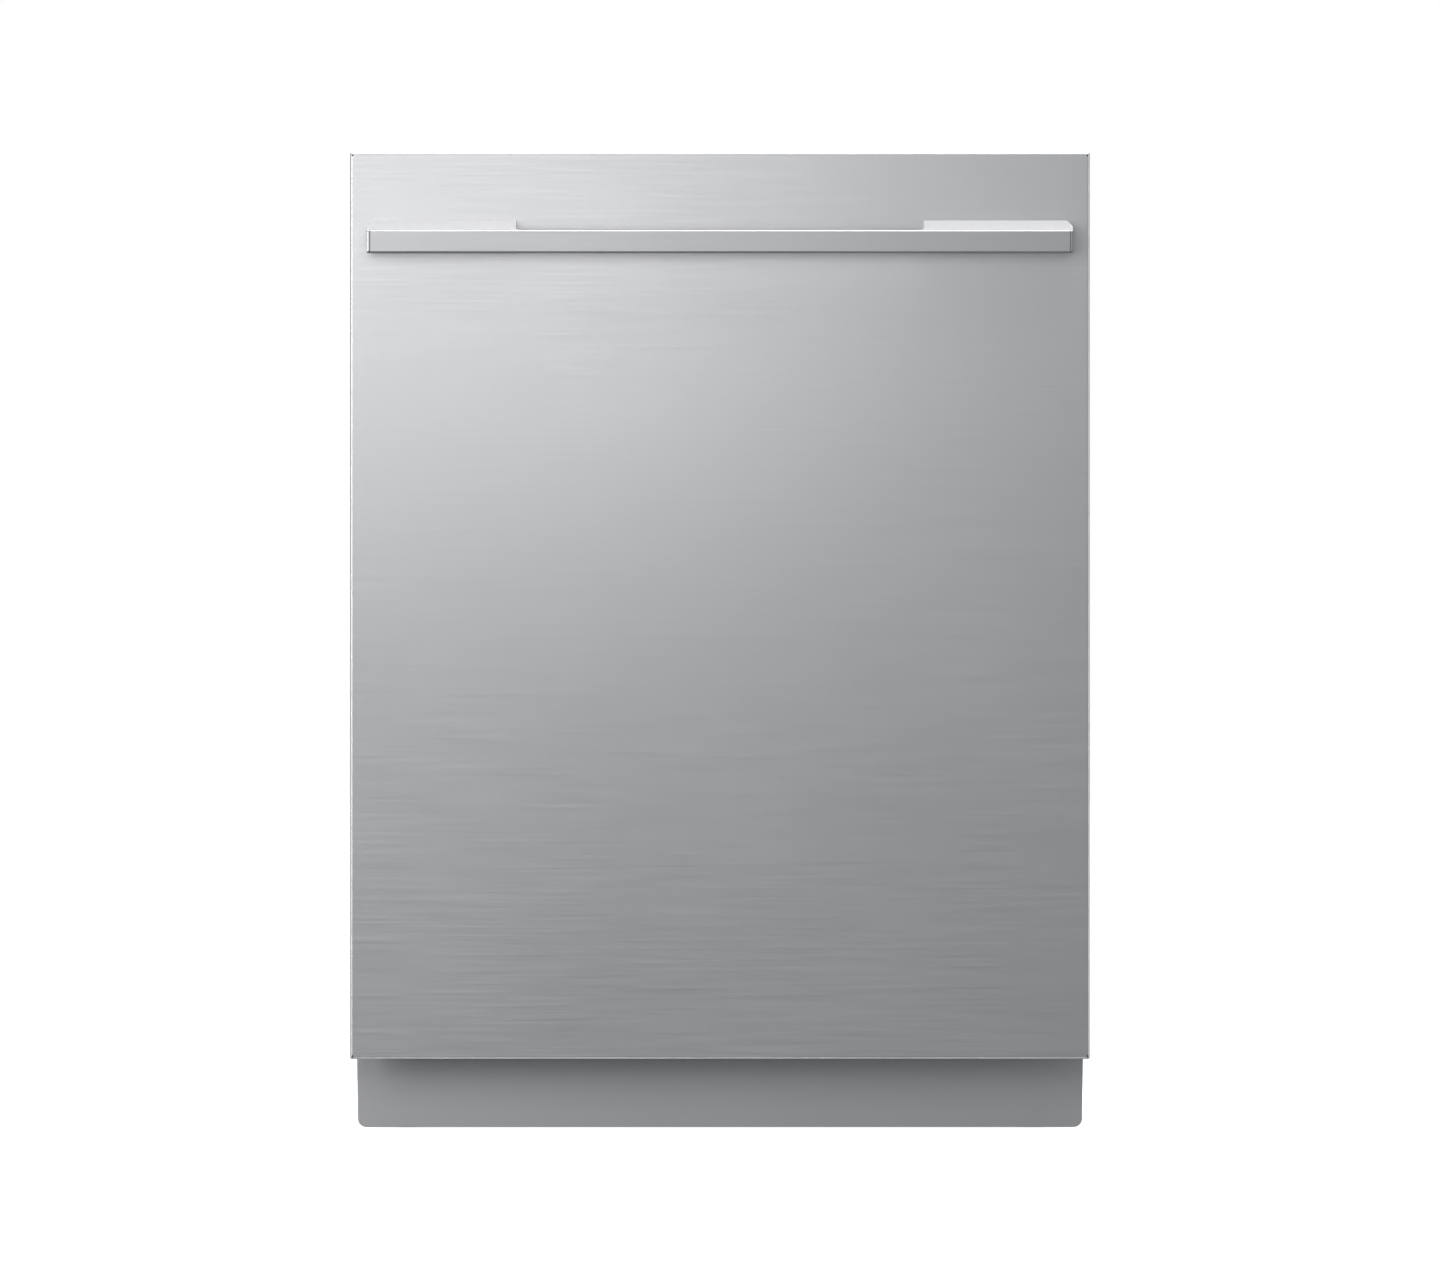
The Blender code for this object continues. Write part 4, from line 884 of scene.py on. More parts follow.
class DISHWASHER_OT_controls(bpy.types.Operator):
    """The control strip on the door's top edge: dished buttons, printed signs, lamps and a tinted window"""

    bl_idname = "dishwasher.controls"
    bl_label = "Controls"

    def execute(self, context):
        low, high = box_of("control_panel")
        top = high[2]
        for name in ("power_button", "cycle_button", "start_button"):
            start, end, middle, half = span_of(name)
            rings = []
            for inset, z in ((0, start[2]), (0, end[2] - 0.8 * MM), (0.3 * MM, end[2] - 0.2 * MM),
                             (1.0 * MM, end[2]), (2.5 * MM, end[2] - 0.3 * MM),
                             (4.5 * MM, end[2] - 0.6 * MM)):
                loop = rounded_loop(half[0] - inset, half[1] - inset,
                                    max(2.5 * MM - inset * 0.5, 0.8 * MM), 5)
                rings.append(at_height(loop + middle[:2], z))
            add(f"dished_{name}", loft(np.stack(rings)), name, "grey", name)
        window = block((-0.070, -0.2695, top), (0.050, -0.2435, top + 0.5 * MM), 4 * MM)
        add("display_window", window, "door", "glass")
        signs = []
        ring = circle_loop(1.9 * MM, 20)
        for place, gap in ((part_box("power_button"), True), (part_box("start_button"), False)):
            x = (place[0][0] + place[1][0]) / 2
            at = np.array([x, low[1] + 6.5 * MM, top + 0.08 * MM])
            path = at_height(ring, 0) + at
            signs.append(rod(path[7:] if gap else path, 0.35 * MM, UP, 5, closed=not gap))
            if gap:
                signs.append(block(at + (-0.18 * MM, 0.2 * MM, -0.1 * MM),
                                   at + (0.18 * MM, 2.3 * MM, 0.1 * MM)))
        x = sum(corner[0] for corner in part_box("cycle_button")) / 2
        signs += [block((x - 2 * MM, low[1] + y, top - 0.05 * MM),
                        (x + 2 * MM, low[1] + y + 0.4 * MM, top + 0.15 * MM))
                  for y in (5 * MM, 6.5 * MM, 8 * MM)]
        first, pitch, mark_y, lamp_y = -0.218, 27 * MM, -0.2600, -0.2520
        marks = [block((first + pitch * step, mark_y, top - 0.05 * MM),
                       (first + pitch * step + 14 * MM, mark_y + 0.8 * MM, top + 0.12 * MM))
                 for step in range(5)]
        add("printed_signs", joined(*signs, *marks), "door", "legend")
        lamps = [turned([(0.3 * MM, 0.35 * MM), (0.9 * MM, 0.25 * MM), (1.2 * MM, 0),
                         (1.2 * MM, -0.2 * MM)], (first + 7 * MM + pitch * step, lamp_y, top), sides=16)
                 for step in range(5)]
        add("indicator_lamps", joined(*lamps), "door", "pale")
        return {"FINISHED"}


class DISHWASHER_OT_hinges(bpy.types.Operator):
    """Rivets on the hinge arms, and the heads of the pivot pins and bolts on their brackets"""

    bl_idname = "dishwasher.hinges"
    bl_label = "Hinge Pins"

    def execute(self, context):
        for side, sign in SIDES:
            low, high = box_of(f"hinge_arm_{side}")
            outer = high[0] if sign > 0 else low[0]
            middle = (low[1] + high[1]) / 2 + 6 * MM
            heads = [screw_head((outer, middle, z), "X", 3.2 * MM, sign) for z in (0.150, 0.195, 0.240)]
            add(f"hinge_arm_rivets_{side}", joined(*heads), "door", "spring")
            low, high = box_of(f"hinge_bracket_{side}")
            outer = high[0] if sign > 0 else low[0]
            pin = screw_head((outer, *HINGE_AXIS), "X", 5.2 * MM, sign)
            bolts = [screw_head((outer, high[1] - 6 * MM, z), "X", 2.8 * MM, sign) for z in (0.112, 0.140)]
            add(f"hinge_pin_heads_{side}", joined(pin, *bolts), "cabinet", "spring")
        return {"FINISHED"}


# ---- Racks ----


def wires(paths, diameter, up=UP, sides=7):
    """Many rods as one shape; each path is bent already."""
    return joined(*[rod(path, diameter, up, sides) for path in paths])


def ring_path(half_x, low_y, high_y, z, radius, steps=6):
    loop = rounded_loop(half_x, (high_y - low_y) / 2, radius, steps) + (0, (low_y + high_y) / 2)
    return at_height(loop, z)


def rack_rings(half, front, rear, levels):
    """Level rings of wire round a rack; each level is (inset, height, corner radius, diameter, sides)."""
    return [rod(ring_path(half - inset, front + inset, rear - inset, z, radius), diameter, UP, sides, True)
            for inset, z, radius, diameter, sides in levels]


def rack_grip(front, top, rim):
    low = (-0.062, front - rim / 2 + 0.3 * MM, top - 0.011)
    high = (0.062, front + rim, top + rim / 2 - 0.2 * MM)
    return block(low, high, 3.2 * MM, "YZ")


class DISHWASHER_OT_lower_rack(bpy.types.Operator):
    """The lower rack: bent wires under two rims, rows of leaning plate tines and a moulded grip"""

    bl_idname = "dishwasher.lower_rack"
    bl_label = "Lower Rack"

    def execute(self, context):
        sizes = context.scene.dishwasher.rack
        low, high = box_of("lower_rack")
        rim, wire = sizes.rim, sizes.wire
        top, floor = high[2] - rim / 2, low[2] + wire / 2 + wire
        half, front, rear = high[0] - rim / 2, low[1] + rim / 2, high[1] - rim / 2
        levels = ((0, top, 0.030, rim, 10), (1 * MM, top - 0.052, 0.030, wire, 8),
                  (14 * MM, floor, 0.020, wire, 8))
        rings = rack_rings(half, front, rear, levels)
        inner_x, inner_front, inner_rear = half - rim, front + rim, rear - rim
        foot = floor - wire
        across = [bent([(-inner_x, y, top), (-inner_x + 5 * MM, y, foot + 0.03),
                        (-inner_x + 14 * MM, y, foot), (inner_x - 14 * MM, y, foot),
                        (inner_x - 5 * MM, y, foot + 0.03), (inner_x, y, top)], 0.014)
                  for y in even(front + 0.036, rear - 0.036, 0.034)]
        along = [bent([(x, inner_front, top), (x, inner_front + 5 * MM, floor + 0.03),
                       (x, inner_front + 14 * MM, floor), (x, inner_rear - 14 * MM, floor),
                       (x, inner_rear - 5 * MM, floor + 0.03), (x, inner_rear, top)], 0.014)
                 for x in even(-half + 0.034, half - 0.034, 0.0415)]
        body = joined(*rings, wires(across, wire, (0, 1, 0)), wires(along, wire, (1, 0, 0)))
        add("lower_rack_wires", body, "lower_rack", "nylon", "lower_rack")
        rows = np.linspace(-0.205, 0.205, sizes.rows * 2)
        tines = []
        for place, x in enumerate(rows):
            rise = sizes.tine_height if place % 4 < 2 else sizes.tine_height * 0.72
            start = -0.085 if abs(x) < 0.165 else front + 0.040
            for y in even(start, rear - 0.040, sizes.pitch):
                tines.append(bent([(x, y, floor), (x, y + 3 * MM, floor + rise * 0.55),
                                   (x, y + 9 * MM, floor + rise)], 0.02, 3))
            tines.append(np.array([(x, start - 0.012, floor + 0.8 * MM),
                                   (x, rear - 0.026, floor + 0.8 * MM)]))
        add("plate_tines", wires(tines, sizes.tine, (1, 0, 0), 6), "lower_rack", "nylon")
        add("lower_rack_grip", rack_grip(front, top, rim), "lower_rack", "grey", edge=0.8 * MM)
        for name in ("front_left", "front_right", "rear_left", "rear_right"):
            self.wheel(name, half)
        return {"FINISHED"}

    def wheel(self, name, half):
        """A section turned about x: a rounded tread with a groove, a web and a hub, with six spokes."""
        middle, size = span_of(f"wheel_{name}")[2:]
        half_width, radius = size[0], size[2]
        t = np.linspace(-1, 1, 9)
        tread = [(radius - 0.9 * MM * abs(part) ** 3 - 0.7 * MM * (abs(part) < 0.2), half_width * part)
                 for part in t]
        inner = [(radius - 3.0 * MM, half_width), (radius - 3.4 * MM, 0.3 * half_width),
                 (7.0 * MM, 0.3 * half_width), (6.6 * MM, half_width), (2.0 * MM, half_width)]
        profile = [*[(r, -x) for r, x in inner[::-1]], *tread, *inner]
        tyre = turned(profile, middle, "X", 40)
        spokes = []
        for angle in np.arange(6) * tau / 6:
            along = np.array([np.cos(angle), np.sin(angle)])
            side = np.array([-along[1], along[0]])
            corners = [along * r + side * s for r, s in ((6 * MM, -1 * MM), (radius - 3 * MM, -1 * MM),
                                                        (radius - 3 * MM, 1 * MM), (6 * MM, 1 * MM))]
            outline = np.array(corners) + middle[1:]
            spokes.append(slab(outline, middle[0] - 0.8 * half_width, middle[0] + 0.8 * half_width, "YZ"))
        add(f"grooved_wheel_{name}", joined(tyre, *spokes), f"wheel_{name}", "grey", f"wheel_{name}")
        sign = 1 if middle[0] > 0 else -1
        stub = [(1.8 * MM, 0), (1.8 * MM, sign * (abs(middle[0]) - half + half_width))]
        axle = turned(stub, (sign * (half - 2 * MM), middle[1], middle[2]), "X", 12)
        carrier = bent([(sign * (half - 9 * MM), middle[1] - 0.012, middle[2] + 0.055),
                        (sign * (half - 3 * MM), middle[1] - 0.008, middle[2] + 0.004),
                        (sign * (half - 3 * MM), middle[1] + 0.008, middle[2] + 0.004),
                        (sign * (half - 9 * MM), middle[1] + 0.012, middle[2] + 0.055)], 8 * MM)
        add(f"wheel_axle_{name}", joined(axle, rod(carrier, 3.2 * MM, (1, 0, 0))), "lower_rack", "nylon")


class DISHWASHER_OT_upper_rack(bpy.types.Operator):
    """The upper rack: a stepped floor of bent wires, cup tines, four cup shelves and a grip"""

    bl_idname = "dishwasher.upper_rack"
    bl_label = "Upper Rack"

    def execute(self, context):
        sizes = context.scene.dishwasher.rack
        low, high = box_of("upper_rack")
        rim, wire = sizes.rim, sizes.wire
        top, floor = high[2] - rim / 2, low[2] + wire * 1.5
        half, front, rear = high[0] - rim / 2, low[1] + rim / 2, high[1] - rim / 2
        levels = ((0, top, 0.030, rim, 10), (1 * MM, top - 0.040, 0.030, wire, 8),
                  (12 * MM, floor + 8 * MM, 0.020, wire, 8))
        rings = rack_rings(half, front, rear, levels)
        x0, step = half - rim, 0.150
        across = [bent([(-x0, y, top), (-x0 + 10 * MM, y, floor + 0.008), (-step, y, floor - wire / 2),
                        (-step + 0.012, y, floor + 0.014), (0, y, floor + 0.022),
                        (step - 0.012, y, floor + 0.014), (step, y, floor - wire / 2),
                        (x0 - 10 * MM, y, floor + 0.008), (x0, y, top)], 0.010)
                  for y in even(front + 0.034, rear - 0.034, 0.0345)]
        along = []
        for x in even(-half + 0.034, half - 0.034, 0.0415):
            lift = np.interp(abs(x), (0, step - 0.012, step, x0), (0.022, 0.014, -wire / 2, 0.008))
            z = floor + (lift + wire * 0.9)
            along.append(bent([(x, front + rim, top), (x, front + 0.018, z), (x, rear - 0.018, z),
                               (x, rear - rim, top)], 0.012))
        body = joined(*rings, wires(across, wire, (0, 1, 0)), wires(along, wire, (1, 0, 0)))
        add("upper_rack_wires", body, "upper_rack", "nylon", "upper_rack")
        tines = []
        for x, rise in ((-0.118, 0.048), (-0.052, 0.038), (0.052, 0.038), (0.118, 0.048)):
            base = floor + float(np.interp(abs(x), (0, 0.138, 0.150), (0.022, 0.014, 0)))
            tines += [bent([(x, y, base), (x, y + 2 * MM, base + rise * 0.6),
                            (x, y + 7 * MM, base + rise)], 0.01, 3)
                      for y in even(front + 0.040, rear - 0.040, sizes.pitch)]
            tines.append(np.array([(x, front + 0.022, base + 1 * MM), (x, rear - 0.022, base + 1 * MM)]))
        for sign in (-1, 1):
            for start in (front + 0.050, 0.055):
                end = start + 0.185
                shelf_x, shelf_z = sign * (x0 - 0.082), top - 0.030
                hinge_x = sign * (x0 - 2 * MM)
                tines.append(bent([(hinge_x, start, shelf_z), (shelf_x, start, shelf_z + 4 * MM),
                                   (shelf_x, end, shelf_z + 4 * MM), (hinge_x, end, shelf_z)], 0.016))
                tines += [np.array([(hinge_x, y, shelf_z), (shelf_x, y, shelf_z + 4 * MM)])
                          for y in even(start + 0.031, end - 0.031, 0.031)]
        add("cup_tines_and_shelves", wires(tines, sizes.tine, (0.02, 0.03, 1), 6), "upper_rack", "nylon")
        clips = [block((sign * x0 - 5 * MM, y - 7 * MM, top - 0.036),
                       (sign * x0 + 3 * MM, y + 7 * MM, top - 0.024), 2.5 * MM, "XZ")
                 for sign in (-1, 1) for y in (front + 0.062, front + 0.222, 0.067, 0.228)]
        add("rack_clips_and_grip", joined(*clips, rack_grip(front, top, rim)), "upper_rack", "grey",
            edge=0.6 * MM)
        arm_low, arm_high = box_of("middle_spray_arm")
        hub_y = (arm_low[1] + arm_high[1]) / 2
        z = arm_high[2] + 4.5 * MM
        feed = rod([(0, hub_y - 6 * MM, z), (0, hub_y + 0.1, z), (0, rear - 0.008, z)], 8 * MM, UP, 16)
        collar = turned([(3 * MM, 0), (11 * MM, 0), (12 * MM, 1.5 * MM), (12 * MM, 5 * MM),
                         (6 * MM, 9 * MM)], (0, hub_y, arm_high[2] + 0.5 * MM), sides=28)
        add("middle_arm_feed_tube", joined(feed, collar), "upper_rack", "grey")
        return {"FINISHED"}


class DISHWASHER_OT_silverware_basket(bpy.types.Operator):
    """The cutlery basket: a moulded lattice with rims, dividers and a carrying loop"""

    bl_idname = "dishwasher.silverware_basket"
    bl_label = "Silverware Basket"

    def execute(self, context):
        low, high, middle, half = span_of("silverware_basket")
        bar = 2.4 * MM
        pieces = []
        for z, thick in ((low[2] + bar / 2, bar), (low[2] + 0.34 * 2 * half[2], bar),
                         (low[2] + 0.67 * 2 * half[2], bar), (high[2] - bar, 2 * bar)):
            loop = rounded_loop(half[0] - bar / 2, half[1] - bar / 2, 9 * MM, 6) + middle[:2]
            path = at_height(loop, z)
            pieces.append(sweep(rounded_loop(bar / 2, thick / 2, 0.6 * MM, 2), path, UP, True))
        start, end = low[2] + bar / 2, high[2] - bar
        strip = bar * 0.42
        sides_x, sides_y = [(low[axis] + bar / 2, high[axis] - bar / 2) for axis in (0, 1)]
        places = [(x, y) for x in even(low[0] + 0.012, high[0] - 0.012, 0.0088) for y in sides_y]
        places += [(x, y) for y in even(low[1] + 0.012, high[1] - 0.012, 0.0088) for x in sides_x]
        pieces += [block((x - strip, y - strip, start), (x + strip, y + strip, end), 0.3 * MM)
                   for x, y in places]
        for x in even(low[0] + 0.006, high[0] - 0.006, 0.0096):
            pieces.append(block((x - 1 * MM, low[1] + 1 * MM, low[2] + 0.2 * MM),
                                (x + 1 * MM, high[1] - 1 * MM, low[2] + 2 * MM), 0.3 * MM, "XZ"))
        for y in even(low[1] + 0.010, high[1] - 0.010, 0.0135):
            pieces.append(block((low[0] + 1 * MM, y - 1 * MM, low[2] + 0.3 * MM),
                                (high[0] - 1 * MM, y + 1 * MM, low[2] + 2.1 * MM), 0.3 * MM, "YZ"))
        for x in np.linspace(low[0], high[0], 6)[1:-1]:
            pieces.append(block((x - 0.7 * MM, low[1] + 1 * MM, low[2] + 1 * MM),
                                (x + 0.7 * MM, high[1] - 1 * MM, low[2] + 1.4 * half[2]), 0.3 * MM, "XZ"))
        loop = bent([(-0.064, middle[1], high[2] - 0.020), (-0.052, middle[1], high[2] + 0.022),
                     (0.052, middle[1], high[2] + 0.022), (0.064, middle[1], high[2] - 0.020)], 0.020, 8)
        pieces.append(sweep(rounded_loop(1.8 * MM, 5 * MM, 1.5 * MM, 3)[:, ::-1], loop, (0, 1, 0)))
        pieces += [block((x - 3 * MM, low[1] + 1 * MM, high[2] - 0.022),
                         (x + 3 * MM, high[1] - 1 * MM, high[2] - 0.012)) for x in (-0.064, 0.064)]
        add("cutlery_basket_lattice", joined(*pieces), "lower_rack", "grey", "silverware_basket")
        return {"FINISHED"}


class DISHWASHER_OT_rails(bpy.types.Operator):
    """The upper rack's rolled rails, their runners and the end stops"""

    bl_idname = "dishwasher.rails"
    bl_label = "Rails and Runners"

    def execute(self, context):
        for side, sign in SIDES:
            low, high = box_of(f"upper_rail_{side}")
            outer, lip = (high[0], low[0]) if sign > 0 else (low[0], high[0])
            hem = 2.2 * MM
            section = bent([(lip, low[2] + hem), (lip, low[2]), (outer, low[2]), (outer, high[2]),
                            (lip, high[2]), (lip, high[2] - hem)], 2 * MM, 3)
            rings = np.stack([np.column_stack([section[:, 0], np.full(len(section), y), section[:, 1]])
                              for y in even(low[1], high[1], 0.06)])
            sheet = sheet_grid(rings) if sign > 0 else flipped(sheet_grid(rings))
            add(f"rolled_rail_{side}", sheet, "cabinet", "zinc", f"upper_rail_{side}", wall=1.1 * MM)
            low, high, centre, half_size = span_of(f"upper_runner_{side}")
            outline = rounded_loop(half_size[0], half_size[2], 1.6 * MM, 4)
            waist = 1 - 0.35 * np.exp(-((outline[:, 1] / (0.45 * half_size[2])) ** 2))
            outline = np.column_stack([outline[:, 0] * waist, outline[:, 1]]) + centre[[0, 2]]
            add(f"drawn_runner_{side}", slab(outline, low[1], high[1], "XZ"), f"upper_runner_{side}",
                "bar", f"upper_runner_{side}", edge=0.4 * MM)
            x = centre[0]
            stop = block((x - 4.6 * MM, high[1] + 0.2 * MM, low[2] + 1 * MM),
                         (x + 4.6 * MM, high[1] + 1.9 * MM, high[2] - 1 * MM), 1 * MM, "XZ")
            add(f"rail_end_stop_{side}", stop, "cabinet", "grey", edge=0.4 * MM)
        return {"FINISHED"}


class DISHWASHER_OT_spray_arms(bpy.types.Operator):
    """The three spray arms: pressed aerofoil wings on turned hubs, with raised nozzles along them"""

    bl_idname = "dishwasher.spray_arms"
    bl_label = "Spray Arms"

    def execute(self, context):
        for name in ("lower_spray_arm", "middle_spray_arm", "top_spray_arm"):
            self.arm(name)
        return {"FINISHED"}

    def arm(self, name):
        """A grooved wing section whose half width and half thickness taper from the hub and close at the
        tip as sqrt(1 - t^14) and sqrt(1 - t^18), carried along x with a slight bow in y."""
        low, high, middle, half = span_of(name)
        steps = np.concatenate([np.linspace(0, 0.9, 28), 0.9 + 0.1 * np.sin(np.linspace(0, pi / 2, 9))[1:]])
        t = np.concatenate([-steps[:0:-1], steps])
        wide = half[1] * (0.92 - 0.30 * np.abs(t)) * np.maximum(1 - np.abs(t) ** 14, 1e-4) ** 0.5
        thick = (half[2] - 2 * MM) * (1 - 0.35 * np.abs(t)) * np.maximum(1 - np.abs(t) ** 18, 1e-4) ** 0.5
        turn = np.arange(32) * tau / 32
        groove = 1 - 0.22 * np.exp(-((np.cos(turn) / 0.28) ** 2))
        section = np.stack([np.sign(np.cos(turn)) * np.abs(np.cos(turn)) ** 0.7, np.sin(turn) * groove], -1)
        bow = 0.10 * half[1] * np.sin(t * pi) * (half[0] > 0.2)
        loops = np.stack([np.broadcast_to((t * half[0])[:, None], (len(t), 32)),
                          wide[:, None] * section[None, :, 0] * 0.96 + bow[:, None],
                          thick[:, None] * section[None, :, 1]], -1) + middle
        hub_radius = half[1] * 0.86
        hub = turned([(2 * MM, low[2]), (0.62 * hub_radius, low[2]), (0.72 * hub_radius, low[2] + 2 * MM),
                      (hub_radius, low[2] + 2.6 * MM), (hub_radius, high[2] - 3 * MM),
                      (0.86 * hub_radius, high[2] - 1.2 * MM), (0.4 * hub_radius, high[2] - 0.6 * MM),
                      (0.3 * hub_radius, high[2])], (middle[0], middle[1], 0), sides=36)
        nozzle = [(0.9 * MM, 0.2 * MM), (1.1 * MM, 1.6 * MM), (2.4 * MM, 1.4 * MM), (3.2 * MM, 0),
                  (3.2 * MM, -1 * MM)]
        nozzles = []
        count = 6 if half[0] > 0.2 else 3
        for sign in (-1, 1):
            for place in range(count):
                part = sign * (0.24 + 0.68 * place / (count - 1))
                height = float(np.interp(part, t, thick))
                x, y = middle[0] + part * half[0], middle[1] + (0.28 if place % 2 else -0.28) * half[1]
                nozzles.append(turned([(r, h + middle[2] + 0.86 * height) for r, h in nozzle], (x, y, 0),
                                      sides=14))
        add(f"pressed_{name}", joined(loft(loops), hub, *nozzles), name, "grey", name)


# ---- Tub ----


class DISHWASHER_OT_tub(bpy.types.Operator):
    """The tub: a bent wrapper with pressed ribs, a rounded back with two raised fields, and a hem"""

    bl_idname = "dishwasher.tub"
    bl_label = "Tub"

    def execute(self, context):
        low, high = box_of("tub_wrapper")
        corner = 30 * MM
        turn = np.linspace(0, pi / 2, 9)[1:-1]
        outline, normal = even_arch(high[0], high[2], low[2], corner, 12 * MM, 16 * MM, turn)
        depth = grid_lines(low[1], high[1], 12 * MM)
        y, z = np.meshgrid(depth, outline[:, 1], indexing="ij")
        on_side = np.abs(normal[:, 0]) > 0.99
        ribs = sum(relief_box(y, z, (-0.17, at - 0.011), (0.27, at + 0.011), 0.011, 7 * MM)
                   for at in (0.225, 0.295, 0.365, 0.435, 0.615, 0.685)) * on_side[None]
        x_roof = np.broadcast_to(outline[:, 0], y.shape)
        roof_field = relief_box(x_roof, y, (-0.20, -0.15), (-0.035, 0.25), 0.03, 8 * MM)
        roof_field = roof_field + relief_box(x_roof, y, (0.035, -0.15), (0.20, 0.25), 0.03, 8 * MM)
        relief = 1.5 * MM * ribs + 1.5 * MM * roof_field * (normal[:, 1] > 0.99)[None]
        sheet = flipped(sheet_grid(set_in(outline, normal, y, relief)))
        add("ribbed_tub_wrapper", sheet, "cabinet", "tub", "tub_wrapper", wall=0.9 * MM)
        mouth = arch_loop(high[0] - 1.4 * MM, high[2] - 1.4 * MM, low[2] + 1 * MM, corner)
        path = np.insert(mouth, 1, low[1] + 1.6 * MM, axis=1)
        add("tub_mouth_hem", rod(path, 2.6 * MM, (0, 1, 0), 8), "cabinet", "tub")
        self.back(corner)
        return {"FINISHED"}

    def back(self, corner):
        """A grid squeezed under the roof's corners: z = bottom + v x (limit(x) - bottom)."""
        low, high = box_of("tub_back")
        x = grid_lines(low[0], high[0], 10 * MM, (low[0] + 2 * MM, high[0] - 2 * MM))
        over = np.maximum(np.abs(x) - high[0] + corner, 0)
        limit = high[2] - corner + np.sqrt(np.maximum(corner**2 - over**2, 0))
        part = np.linspace(0, 1, 58)
        z = low[2] + part[None] * (limit[:, None] - low[2])
        across = np.broadcast_to(x[:, None], z.shape)
        fields = relief_box(across, z, (-0.235, 0.20), (-0.04, 0.70), 0.03, 10 * MM)
        fields = fields + relief_box(across, z, (0.04, 0.20), (0.235, 0.70), 0.03, 10 * MM)
        vents = sum(relief_box(across, z, (-0.18, at - 6 * MM), (-0.095, at + 6 * MM), 5 * MM, 4 * MM)
                    for at in np.arange(0.27, 0.66, 0.055))
        y = low[1] + 0.4 * MM + 4.5 * MM * fields - 2.5 * MM * vents
        sheet = sheet_grid(np.stack([across, y, z], -1))
        add("pressed_tub_back", sheet, "cabinet", "tub", "tub_back", wall=0.4 * MM)


class DISHWASHER_OT_tub_floor(bpy.types.Operator):
    """The floor: ledges round a dished well with a round hole for the filter, the arm's post and a sill"""

    bl_idname = "dishwasher.tub_floor"
    bl_label = "Tub Floor"

    def execute(self, context):
        low, high = box_of("tub_floor")
        arm_low, arm_high = box_of("lower_spray_arm")
        cup_low, cup_high = box_of("filter_cup")
        centre, post_y = (cup_low + cup_high)[:2] / 2, (arm_low[1] + arm_high[1]) / 2
        mouth, square = 50 * MM, 58 * MM
        lines = []
        for axis in (0, 1):
            plain = grid_lines(low[axis], high[axis], 9 * MM)
            plain = plain[np.abs(plain - centre[axis]) > square + 2 * MM]
            lines.append(np.sort(np.concatenate([plain, centre[axis] + np.linspace(-square, square, 17)])))
        x, y = np.meshgrid(*lines, indexing="ij")

        def height(across, along):
            start, end = (-0.223, low[1] + 0.018), (0.223, high[1] - 0.018)
            well = relief_box(across, along, start, end, 0.030, 11 * MM)
            away = np.hypot(across - centre[0], along - centre[1])
            fall = 0.3 * MM * np.clip(1 - away / 0.25, 0, 1)
            return LEDGE_TOP - (LEDGE_TOP - WELL_FLOOR + fall) * well

        flat = np.stack([x, y, height(x, y)], -1).reshape(-1, 3)
        faces = grid_faces(*x.shape)
        middle = flat[faces].mean(1)
        keep = np.any(np.abs(middle[:, :2] - centre) > square, axis=1)
        along_side = np.linspace(-square, square, 17)
        across_side = np.full(17, square)
        edge = np.concatenate([np.column_stack(pair)[:-1] for pair in (
            (along_side, -across_side), (across_side, along_side), (-along_side, across_side),
            (-across_side, -along_side))])
        away = np.linalg.norm(edge, axis=1, keepdims=True)
        rings = []
        for part in np.linspace(0, 1, 5):
            ring = edge * (1 - part) + edge / away * mouth * part + centre
            z = height(ring[:, 0], ring[:, 1]) - 0.4 * MM * part**3
            rings.append(np.column_stack([ring, z]))
        hole = loft(np.stack(rings), caps=False)
        sheet = joined((flat, faces[keep].tolist()), hole)
        add("dished_tub_floor", sheet, "cabinet", "tub", "tub_floor", wall=1.0 * MM)
        post = turned([(12 * MM, WELL_FLOOR - 1.2 * MM), (11.5 * MM, WELL_FLOOR + 4.3 * MM),
                       (8.5 * MM, WELL_FLOOR + 6.8 * MM), (8.0 * MM, high[2] - 1 * MM), (7.0 * MM, high[2]),
                       (2.5 * MM, high[2])], (0, post_y, 0), sides=32)
        add("arm_post", post, "cabinet", "grey")
        self.sill(low, high)
        return {"FINISHED"}

    def sill(self, low, high):
        """A sheet under the floor's front edge, curved about the door's hinge: axis + r (cos a, sin a)."""
        radius, sheet, bend = 46 * MM, 0.8 * MM, radians(25)
        turn = np.linspace(-bend, bend, 9)
        ring = np.stack([np.cos(turn), np.sin(turn)], -1)
        inner, outer = HINGE_AXIS + radius * ring, HINGE_AXIS + (radius + sheet) * ring
        under = LEDGE_TOP - 2.5 * MM
        outline = np.concatenate([inner, [(inner[-1][0], under), (outer[-1][0], under)], outer[::-1]])
        add("front_sill", slab(outline, low[0] + 2 * MM, high[0] - 2 * MM, "YZ"), "cabinet", "tub")


def washer(inner, outer, start, end, centre, sides=48):
    """A flat ring with square edges about a centre, from start to end in height."""
    last = start + np.sign(end - start) * 0.1 * MM
    profile = [(inner, start), (outer, start), (outer, end), (inner, end), (inner, last)]
    return turned(profile, (*centre, 0), sides=sides)


